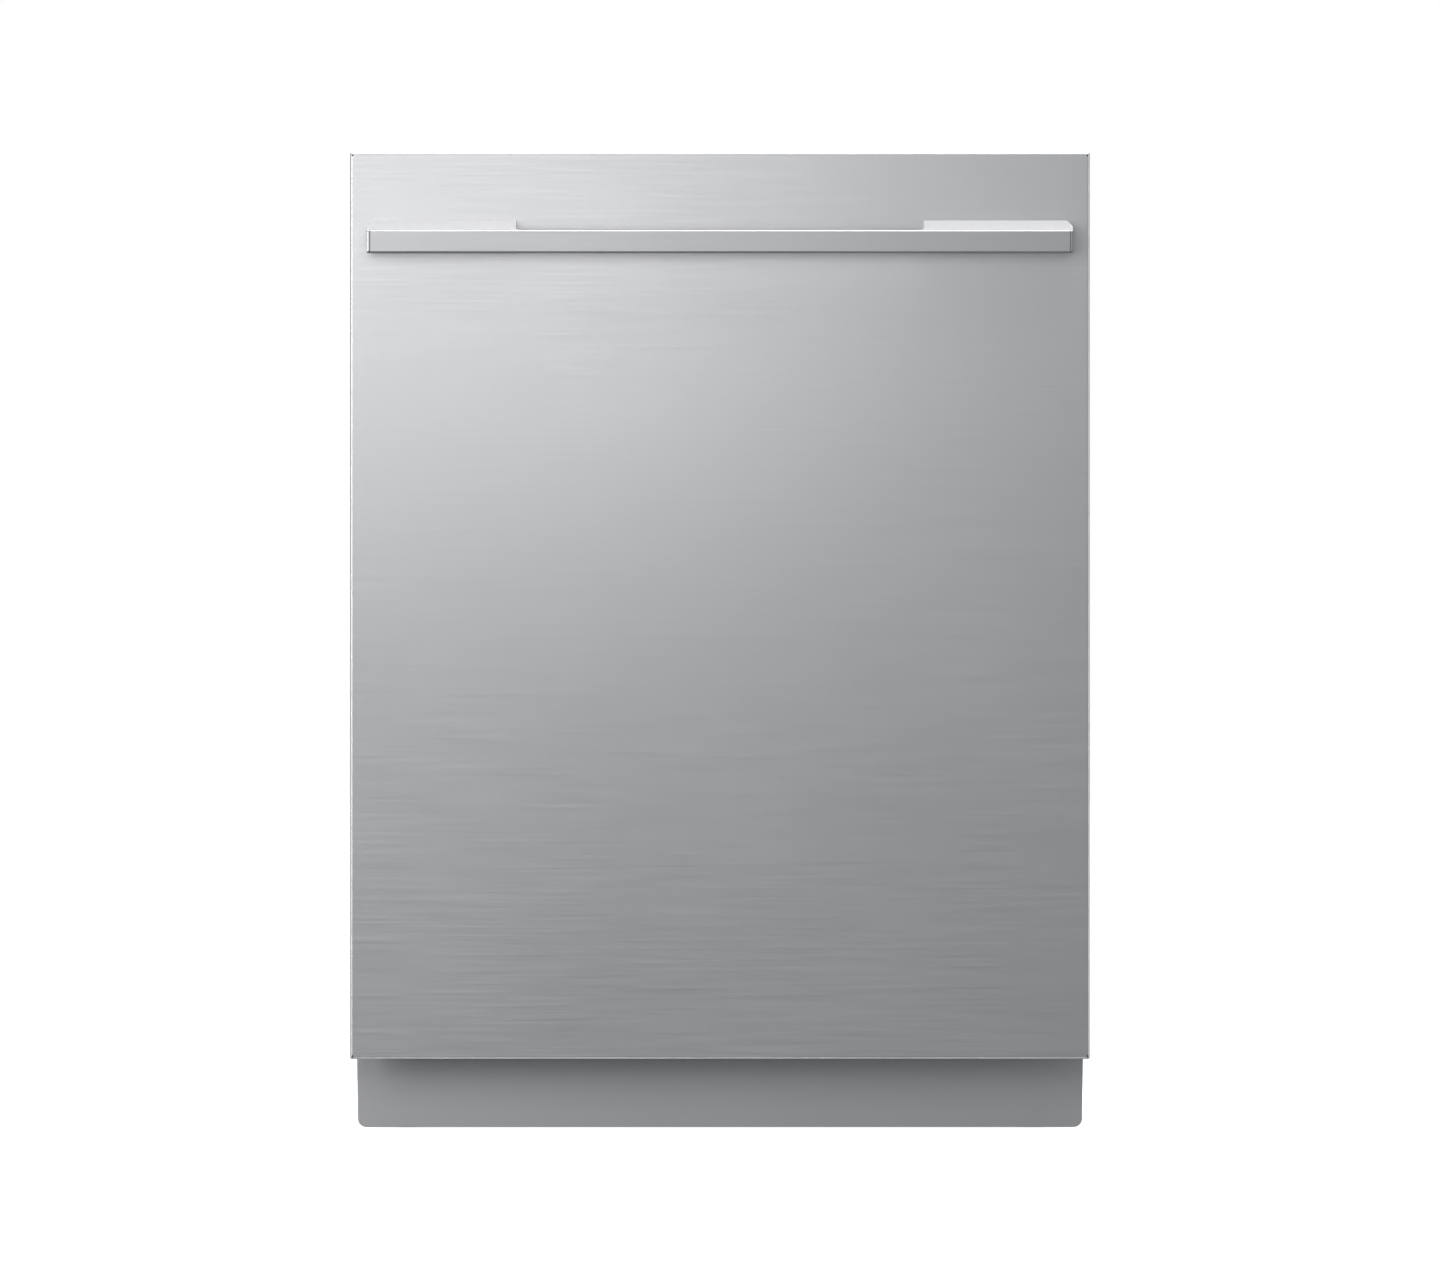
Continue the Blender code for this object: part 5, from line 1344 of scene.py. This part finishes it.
class DISHWASHER_OT_filter(bpy.types.Operator):
    """The filter: a flanged cup with a cage of bars, a fine inner screen and a winged grip"""

    bl_idname = "dishwasher.filter"
    bl_label = "Filter"

    def execute(self, context):
        low, high = box_of("filter_cup")
        centre, reach = (low + high)[:2] / 2, (high[0] - low[0]) / 2
        rim, cage = WELL_FLOOR + 0.5 * MM, 36 * MM
        flange = turned([(cage + 3 * MM, rim - 4 * MM), (cage + 3 * MM, rim), (reach, rim),
                         (reach, rim + 1.2 * MM), (reach - 2 * MM, rim + 2.6 * MM),
                         (reach - 8 * MM, rim + 2.0 * MM), (cage, rim + 1.4 * MM),
                         (cage - 3 * MM, rim - 3 * MM), (cage - 3 * MM, rim - 4 * MM)], (*centre, 0),
                        sides=64)
        hoops = [washer(cage - 3 * MM, cage, z, z + 3 * MM, centre) for z in (low[2], low[2] + 0.020)]
        bars = []
        for angle in np.arange(20) * tau / 20:
            at = centre + (cage - 1.5 * MM) * np.array([np.cos(angle), np.sin(angle)])
            bars.append(block((at[0] - 1 * MM, at[1] - 1 * MM, low[2]),
                              (at[0] + 1 * MM, at[1] + 1 * MM, rim), 0.4 * MM))
        base = turned([(2 * MM, low[2] + 1.6 * MM), (cage - 2 * MM, low[2] + 1.6 * MM),
                       (cage - 2 * MM, low[2] + 0.2 * MM), (2 * MM, low[2] + 0.2 * MM)], (*centre, 0),
                      sides=48)
        top = rim + 3 * MM
        deck = washer(18 * MM, 21 * MM, rim - 1 * MM, rim + 1.2 * MM, centre, 40)
        spokes = []
        for angle in np.arange(12) * tau / 12:
            away = np.array([np.cos(angle), np.sin(angle)])
            side = np.array([-away[1], away[0]]) * 0.9 * MM
            corners = [away * 20 * MM - side, away * 34 * MM - side, away * 34 * MM + side,
                       away * 20 * MM + side]
            spokes.append(slab(np.array(corners) + centre, rim - 1 * MM, rim + 1.0 * MM))
        wing = block((centre[0] - 0.020, centre[1] - 2.4 * MM, top - 4 * MM),
                     (centre[0] + 0.020, centre[1] + 2.4 * MM, high[2]), 4 * MM, "XZ", 5)
        cross = block((centre[0] - 2.2 * MM, centre[1] - 0.014, top - 4 * MM),
                      (centre[0] + 2.2 * MM, centre[1] + 0.014, high[2] - 3 * MM), 3 * MM, "YZ", 5)
        add("filter_cage_and_grip", joined(flange, *hoops, *bars, base, deck, *spokes, wing, cross),
            "filter_cup", "grey", "filter_cup")
        screen = washer(cage - 5 * MM, cage - 4.6 * MM, rim - 3 * MM, low[2] + 3 * MM, centre)
        deck_mesh = washer(20 * MM, cage - 2 * MM, rim - 0.4 * MM, rim, centre)
        add("fine_steel_screen", joined(screen, deck_mesh), "filter_cup", "mesh")
        return {"FINISHED"}


class DISHWASHER_OT_gasket(bpy.types.Operator):
    """The door seal: a bulb on a grooved foot, carried round the tub's mouth"""

    bl_idname = "dishwasher.gasket"
    bl_label = "Door Seal"

    def execute(self, context):
        low, high = box_of("tub_gasket")
        width, depth = 7 * MM, high[1] - low[1]
        turn = np.linspace(0, pi, 11)
        bulb = np.stack([0.5 * width * np.cos(turn), -0.15 * depth + 0.62 * depth * np.sin(turn)], -1)
        foot = np.array([(-0.5 * width, -0.48 * depth), (-0.1 * width, -0.48 * depth),
                         (-0.1 * width, -0.40 * depth), (0.1 * width, -0.40 * depth),
                         (0.1 * width, -0.48 * depth), (0.5 * width, -0.48 * depth)])
        section = np.concatenate([bulb, foot])
        middle = width / 2
        path = arch_loop(high[0] - middle, high[2] - middle, low[2], 29 * MM, 14)
        path = np.insert(path, 1, (low[1] + high[1]) / 2, axis=1)
        add("bulb_door_seal", sweep(section, path, (0, -1, 0)), "cabinet", "rubber", "tub_gasket")
        return {"FINISHED"}


class DISHWASHER_OT_blanket(bpy.types.Operator):
    """The felt over the tub: thick, soft-edged and stitched down in rows, so it puffs between them"""

    bl_idname = "dishwasher.blanket"
    bl_label = "Felt Blanket"

    def execute(self, context):
        low, high = box_of("insulation_blanket")
        corner = 38 * MM
        turn = np.linspace(0, pi / 2, 12)[1:-1]
        outline, normal = even_arch(high[0], high[2], low[2], corner, 9 * MM, 9 * MM, turn)
        run = np.concatenate([[0], np.cumsum(np.linalg.norm(np.diff(outline, axis=0), axis=1))])
        depth = even(low[1], high[1], 9 * MM)
        y, along = np.meshgrid(depth, run, indexing="ij")
        puff = np.abs(np.sin(pi * y / 0.085 + 0.6)) ** 0.45 * np.abs(np.sin(pi * along / 0.092)) ** 0.45
        draw = np.random.default_rng(7)
        wave = sum(np.sin(along * draw.uniform(20, 60) + y * draw.uniform(20, 70) + draw.uniform(0, 6))
                   for _ in range(4)) / 4
        ends = smooth_step(np.minimum(y - low[1], high[1] - y), -1 * MM, 9 * MM)
        inset = 0.2 * MM + 1.7 * MM * (1 - puff) + 0.35 * MM * (1 + wave) + 1.2 * MM * (1 - ends)
        inner_half = 0.2806  # half the width inside the blanket
        under = set_in(outline, normal, y, np.full(y.shape, high[0] - inner_half))
        around = np.concatenate([set_in(outline, normal, y, inset), under[::-1]])
        rows, columns = around.shape[:2]
        faces = grid_faces(rows, columns, close_rows=True).tolist()
        faces += [[index * columns for index in range(rows)][::-1],
                  [index * columns + columns - 1 for index in range(rows)]]
        shape = (around.reshape(-1, 3), faces)
        blanket = add("felt_insulation_blanket", shape, "cabinet", "felt", "insulation_blanket", sharp=60)
        return {"FINISHED"}


# ---- Base and chassis ----


class DISHWASHER_OT_side_frames(bpy.types.Operator):
    """The side frames: sheets with folded flanges, pressed stiffening channels and cabinet screws"""

    bl_idname = "dishwasher.side_frames"
    bl_label = "Side Frames"

    def execute(self, context):
        for side, sign in SIDES:
            low, high = box_of(f"side_frame_{side}")
            outer, lip = (high[0], low[0]) if sign > 0 else (low[0], high[0])
            fold = 2.5 * MM
            across = grid_lines(low[1] + fold, high[1] - fold, 11 * MM)
            turn = np.linspace(0, pi / 2, 5)[1:]
            front = np.stack([outer - sign * fold * (1 - np.cos(turn)),
                              low[1] + fold - fold * np.sin(turn)], -1)
            rear = np.stack([front[:, 0], high[1] - fold + fold * np.sin(turn)], -1)
            flat = np.column_stack([np.full(len(across), outer), across])
            profile = np.concatenate([[(lip, low[1])], front[::-1], flat, rear, [(lip, high[1])]])
            z = even(low[2], high[2], 11 * MM)
            web = np.abs(profile[:, 0] - outer) < 0.1 * MM
            along, up = np.meshgrid(profile[:, 1], z, indexing="ij")
            ribs = sum(relief_box(along, up, (low[1] + 0.045, at - 0.014), (high[1] - 0.045, at + 0.014),
                                  0.014, 8 * MM) for at in (0.24, 0.42, 0.60))
            uprights = sum(relief_box(along, up, (at - 0.013, 0.065), (at + 0.013, 0.190), 0.013, 8 * MM)
                           for at in (-0.11, 0.06, 0.23))
            x = profile[:, :1] - sign * 3 * MM * (ribs + uprights) * web[:, None]
            sheet = sheet_grid(np.stack([x, along, up], -1))
            sheet = sheet if sign > 0 else flipped(sheet)
            add(f"pressed_side_frame_{side}", sheet, "cabinet", "zinc", f"side_frame_{side}", wall=1.0 * MM)
            screws = [screw_head((outer, y, at), "X", 3.4 * MM, sign)
                      for y in (low[1] + 0.020, high[1] - 0.020) for at in (0.10, 0.33, 0.51, 0.74)]
            add(f"side_frame_screws_{side}", joined(*screws), "cabinet", "spring")
        return {"FINISHED"}


def coil(start, length_of, radius, wire, turns, hook):
    """A helix along y: (r cos, y, r sin), its rings square to the helix, with bent hooks at the ends."""
    count = turns * 14
    angle = np.linspace(0, turns * tau, count + 1)
    y = np.linspace(0, length_of, count + 1)
    path = np.stack([radius * np.cos(angle), y, radius * np.sin(angle)], -1)
    tangent = np.gradient(path, axis=0)
    tangent /= np.linalg.norm(tangent, axis=1, keepdims=True)
    outward = np.stack([np.cos(angle), np.zeros(count + 1), np.sin(angle)], -1)
    binormal = np.cross(tangent, outward)
    loop = circle_loop(wire / 2, 7)
    loops = path[:, None] + loop[None, :, :1] * outward[:, None] + loop[None, :, 1:] * binormal[:, None]
    helix = loft(loops)
    hooks = [rod(bent([(radius, at, 0), (0, at + way * 0.3, 0), (-radius * 0.6, at + way * 0.7, 0),
                       (0, at + way, 0), (radius * 0.6, at + way * 0.6, 0)], 2 * MM, 4), wire, UP, 7)
             for at, way in ((0, -hook), (length_of, hook))]
    return moved(joined(helix, *hooks), start)


def fins(starts, root, crest, flat):
    """Fins as (radius, height) points: up a ramp from root to crest, along the flat, and down again."""
    ramp = 0.8 * MM
    return [point for at in starts for point in (
        (root, at), (crest, at + ramp), (crest, at + flat), (root, at + flat + ramp))]


class DISHWASHER_OT_base(bpy.types.Operator):
    """The base: wound springs, threaded legs, ribbed pumps, the inlet valve and the wiring box"""

    bl_idname = "dishwasher.base"
    bl_label = "Base"

    def execute(self, context):
        for side in ("left", "right"):
            name = f"counterbalance_spring_{side}"
            low, high, middle, half = span_of(name)
            radius, wire, hook = half[0] - 0.9 * MM, 1.8 * MM, 11 * MM
            reach = high[1] - low[1] - 2 * hook
            shape = coil((middle[0], low[1] + hook, middle[2]), reach, radius, wire, 34, hook - 1 * MM)
            add(f"wound_{name}", shape, "cabinet", "spring", name)
        for name in ("leg_front_left", "leg_front_right", "leg_rear_left", "leg_rear_right"):
            self.leg(name)
        self.pumps()
        self.valve()
        self.wiring_box()
        return {"FINISHED"}

    def leg(self, name):
        """A rod whose radius zigzags between the thread's crests and roots, on a turned, gripped foot."""
        high, middle, half = span_of(name)[1:]
        foot = half[0]
        pitch, crest, root = 1.25 * MM, 4.0 * MM, 3.35 * MM
        start, end = 9 * MM, high[2] - 1 * MM
        z = np.arange(start, end, pitch / 2)
        thread = [(crest if step % 2 else root, value) for step, value in enumerate(z)]
        rod_shape = turned([(root - 0.4 * MM, start - 1 * MM), *thread, (root - 0.6 * MM, high[2])],
                           (middle[0], middle[1], 0), sides=16)
        turn = np.arange(48) * tau / 48
        rings = []
        for radius, height, lobe in ((2 * MM, 0, 0), (foot - 1 * MM, 0, 0), (foot, 1 * MM, 0),
                                     (foot, 3.4 * MM, 0), (foot - 3 * MM, 4.6 * MM, 0),
                                     (9 * MM, 5 * MM, 1), (9 * MM, 8.6 * MM, 1), (7.6 * MM, 9.2 * MM, 0.5),
                                     (4.2 * MM, 9.2 * MM, 0)):
            size = radius - 0.8 * MM * lobe * (0.5 + 0.5 * np.cos(6 * turn))
            rings.append(np.stack([middle[0] + size * np.cos(turn), middle[1] + size * np.sin(turn),
                                   np.full(48, height)], -1))
        add(f"threaded_{name}", rod_shape, name, "spring", name)
        add(f"foot_of_{name}", loft(np.stack(rings)), name, "black")

    def pumps(self):
        low, high, middle, half = span_of("circulation_pump")
        start, end, big = low[0], high[0], half[2]
        motor = [(6 * MM, start), (0.70 * big, start), (0.76 * big, start + 2 * MM)]
        motor += fins(start + 0.006 + np.arange(9) * 0.0085, 0.76 * big, 0.86 * big, 4.6 * MM)
        motor += [(0.78 * big, end - 0.062), (0.99 * big, end - 0.058), (big, end - 0.052),
                  (big, end - 0.030), (0.92 * big, end - 0.022), (0.60 * big, end - 0.018),
                  (0.52 * big, end - 0.014), (0.52 * big, end), (0.40 * big, end),
                  (0.40 * big, end - 0.010), (4 * MM, end - 0.010)]
        add("finned_circulation_pump", turned(motor, (0, middle[1], middle[2]), "X", 40), "cabinet",
            "black", "circulation_pump")
        low, high, middle, half = span_of("drain_pump")
        start, end, big = low[1], high[1], half[2]
        profile = [(4 * MM, start), (0.6 * big, start), (0.7 * big, start + 1.5 * MM)]
        profile += fins(start + 0.005 + np.arange(5) * 0.007, 0.72 * big, 0.84 * big, 4 * MM)
        profile += [(0.75 * big, start + 0.043), (big, start + 0.045), (big, end - 0.012),
                    (0.9 * big, end - 0.007), (0.45 * big, end - 0.005), (0.40 * big, end), (4 * MM, end)]
        add("finned_drain_pump", turned(profile, (middle[0], 0, middle[2]), "Y", 36), "cabinet",
            "black", "drain_pump")

    def valve(self):
        low, high, middle = span_of("inlet_valve")[:3]
        body = block((low[0] + 1 * MM, low[1] + 1 * MM, low[2] + 0.020),
                     (high[0] - 1 * MM, high[1] - 1 * MM, low[2] + 0.036), 6 * MM)
        coil_case = block((middle[0] - 0.013, middle[1] - 0.013, low[2] + 0.034),
                          (middle[0] + 0.013, middle[1] + 0.013, high[2]), 4 * MM)
        thread = [(9.6 * MM if step % 2 else 8.7 * MM, low[2] + 0.001 + step * 0.9 * MM)
                  for step in range(20)]
        spout = turned([(5 * MM, low[2]), *thread, (8 * MM, low[2] + 0.021), (2 * MM, low[2] + 0.021)],
                       (middle[0], middle[1], 0), sides=28)
        tabs = [block((middle[0] + side * 0.010 - 3 * MM, low[1] + 0.2 * MM, low[2] + 0.040),
                      (middle[0] + side * 0.010 - 2.2 * MM, low[1] + 0.006, low[2] + 0.047))
                for side in (0, 0.6)]
        screws = [screw_head((middle[0] + a * 0.017, middle[1] + b * 0.012, low[2] + 0.036), "Z", 2.4 * MM)
                  for a in (-1, 1) for b in (-1, 1)]
        add("solenoid_inlet_valve", joined(body, coil_case, spout), "cabinet", "pale",
            "inlet_valve", edge=0.5 * MM)
        add("inlet_valve_terminals", joined(*tabs, *screws), "cabinet", "spring")

    def wiring_box(self):
        low, high = box_of("junction_box")
        lip = 1.2 * MM
        case = block(low + (lip, lip, 0), high - (lip, lip, 3 * MM), 3 * MM)
        lid = block((low[0], low[1], high[2] - 6 * MM), high, 3.5 * MM)
        screws = [screw_head((x, (low[1] + high[1]) / 2, high[2] - 0.5 * MM), "Z", 2.6 * MM)
                  for x in (low[0] + 0.010, high[0] - 0.010)]
        gland = turned([(3 * MM, 0), (8 * MM, 0), (8 * MM, 3 * MM), (6.5 * MM, 5 * MM), (3.5 * MM, 5 * MM)],
                       (high[0] - 1 * MM, (low[1] + high[1]) / 2, 0.058), "X", 20)
        add("junction_box_case", joined(case, lid), "cabinet", "zinc", "junction_box", edge=0.6 * MM)
        add("junction_box_fittings", joined(*screws, gland), "cabinet", "black")


# ---- Stage ----

ROOM_LIGHT = 0.319  # strength of the soft grey room
# Name, place, what it points at, size in metres, power in watts
LIGHTS = (
    ("top_front", (0.0, -1.0, 2.3), (0.0, -0.29, 0.6), (2.2, 1.0), 36),
    ("left_strip", (-1.9, -0.8, 0.5), (-0.3, -0.29, 0.4), (0.5, 1.4), 3),
    ("right_strip", (1.9, -0.8, 0.5), (0.3, -0.29, 0.4), (0.5, 1.4), 8),
    ("left_front", (-1.5, -2.2, 0.7), (-0.2, -0.29, 0.5), (1.0, 1.2), 18.3),
    ("near_box", (-0.35, -1.5, 0.8), (-0.35, -0.29, 0.8), (0.8, 0.5), 0.85),
    ("soft_box", (-0.35, -3.0, 0.9), (-0.35, -0.29, 0.9), (1.2, 0.8), 2.31),
    ("strip_box", (-0.05, -1.6, 0.8), (-0.05, -0.29, 0.8), (0.9, 0.3), 0.20),
    ("roof_light", (0.0, 0.3, 2.6), (0.0, 0.1, 0.8), (2.4, 2.0), 26),
    ("rear_light", (0.9, 2.6, 1.8), (0.0, 0.3, 0.4), (2.0, 1.6), 30),
)


class DISHWASHER_OT_stage(bpy.types.Operator):
    """The pale floor, the studio lights and the camera"""

    bl_idname = "dishwasher.stage"
    bl_label = "Stage"

    def execute(self, context):
        scene = context.scene
        self.floor()
        self.world(scene)
        for lamp in LIGHTS:
            self.light(*lamp)
        self.camera(scene)
        scene.view_settings.view_transform = "Standard"
        return {"FINISHED"}

    def floor(self):
        mesh = bpy.data.meshes.new("studio_floor")
        reach, drop = 60.0, -0.0002
        corners = [(-reach, -reach, drop), (reach, -reach, drop), (reach, reach, drop),
                   (-reach, reach, drop)]
        mesh.from_pydata(corners, [], [(0, 1, 2, 3)])
        made = bpy.data.materials.new("white_studio_floor")
        made.use_nodes = True
        shader = made.node_tree.nodes["Principled BSDF"]
        shader.inputs["Base Color"].default_value = (0.9, 0.9, 0.9, 1)
        shader.inputs["Roughness"].default_value = 0.9
        shader.inputs["Emission Color"].default_value = (1, 1, 1, 1)
        shader.inputs["Emission Strength"].default_value = 0.86
        mesh.materials.append(made)
        floor = bpy.data.objects.new("studio_floor", mesh)
        bpy.context.scene.collection.objects.link(floor)
        floor.visible_glossy = False

    def world(self, scene):
        """White to the eye, and a soft grey room to light with."""
        world = bpy.data.worlds.new("studio_room")
        scene.world = world
        world.use_nodes = True
        tree = world.node_tree
        seen = add_node(tree, "ShaderNodeLightPath").outputs["Is Camera Ray"]
        room = tree.nodes["Background"]
        room.inputs["Color"].default_value = (0.93, 0.96, 1.0, 1)
        room.inputs["Strength"].default_value = ROOM_LIGHT
        white = add_node(tree, "ShaderNodeBackground", None, {"Color": (1, 1, 1, 1), "Strength": 1.0})
        mix = add_node(tree, "ShaderNodeMixShader", None, {"Fac": seen})
        tree.links.new(room.outputs[0], mix.inputs[1])
        tree.links.new(white.outputs[0], mix.inputs[2])
        tree.links.new(mix.outputs[0], tree.nodes["World Output"].inputs["Surface"])

    def light(self, name, place, target, size, power):
        data = bpy.data.lights.new(name, "AREA")
        data.shape = "RECTANGLE"
        data.size, data.size_y = size
        data.energy = power
        lamp = bpy.data.objects.new(name, data)
        lamp.location = place
        lamp.rotation_euler = (Vector(target) - Vector(place)).to_track_quat("-Z", "Y").to_euler()
        lamp.visible_camera = False
        bpy.context.scene.collection.objects.link(lamp)

    def camera(self, scene):
        """Square on to the door and level with its middle, from far enough that its sides stay parallel."""
        data = bpy.data.cameras.new("camera")
        distance, view_width = 30.0, 1.180
        data.sensor_width = 36.0
        data.lens = data.sensor_width * distance / view_width
        data.clip_end = 200.0
        camera = bpy.data.objects.new("camera", data)
        aim = Vector((0.0, -0.29, 0.4005))
        camera.location = aim + Vector((0, -distance, 0))
        camera.rotation_euler = (aim - camera.location).to_track_quat("-Z", "Y").to_euler()
        scene.collection.objects.link(camera)
        scene.camera = camera


STEPS = (
    DISHWASHER_OT_stage,
    DISHWASHER_OT_finishes,
    DISHWASHER_OT_door_skin,
    DISHWASHER_OT_handle,
    DISHWASHER_OT_kick_plate,
    DISHWASHER_OT_door_liner,
    DISHWASHER_OT_dispenser,
    DISHWASHER_OT_controls,
    DISHWASHER_OT_hinges,
    DISHWASHER_OT_lower_rack,
    DISHWASHER_OT_upper_rack,
    DISHWASHER_OT_silverware_basket,
    DISHWASHER_OT_rails,
    DISHWASHER_OT_spray_arms,
    DISHWASHER_OT_tub,
    DISHWASHER_OT_tub_floor,
    DISHWASHER_OT_filter,
    DISHWASHER_OT_gasket,
    DISHWASHER_OT_blanket,
    DISHWASHER_OT_side_frames,
    DISHWASHER_OT_base,
)


class DISHWASHER_PT_pieces(bpy.types.Panel):
    """Lists the dishwasher's pieces in the order that they are made"""

    bl_label = "Dishwasher"
    bl_idname = "DISHWASHER_PT_pieces"
    bl_space_type = "VIEW_3D"
    bl_region_type = "UI"
    bl_category = "Dishwasher"

    def draw(self, context):
        settings = context.scene.dishwasher
        for group in (settings.door, settings.rack, settings.finish):
            column = self.layout.column(align=True)
            for name in group.__annotations__:
                column.prop(group, name)
        for step in STEPS:
            self.layout.operator(step.bl_idname)


CLASSES = (DoorSizes, RackSizes, Finishes, Dishwasher, *STEPS, DISHWASHER_PT_pieces)


def register():
    for kind in CLASSES:
        bpy.utils.register_class(kind)
    bpy.types.Scene.dishwasher = PointerProperty(type=Dishwasher)


def unregister():
    del bpy.types.Scene.dishwasher
    for kind in reversed(CLASSES):
        bpy.utils.unregister_class(kind)


def main():
    register()
    for step in STEPS:
        group, name = step.bl_idname.split(".")
        getattr(getattr(bpy.ops, group), name)()


if __name__ == "__main__":
    main()
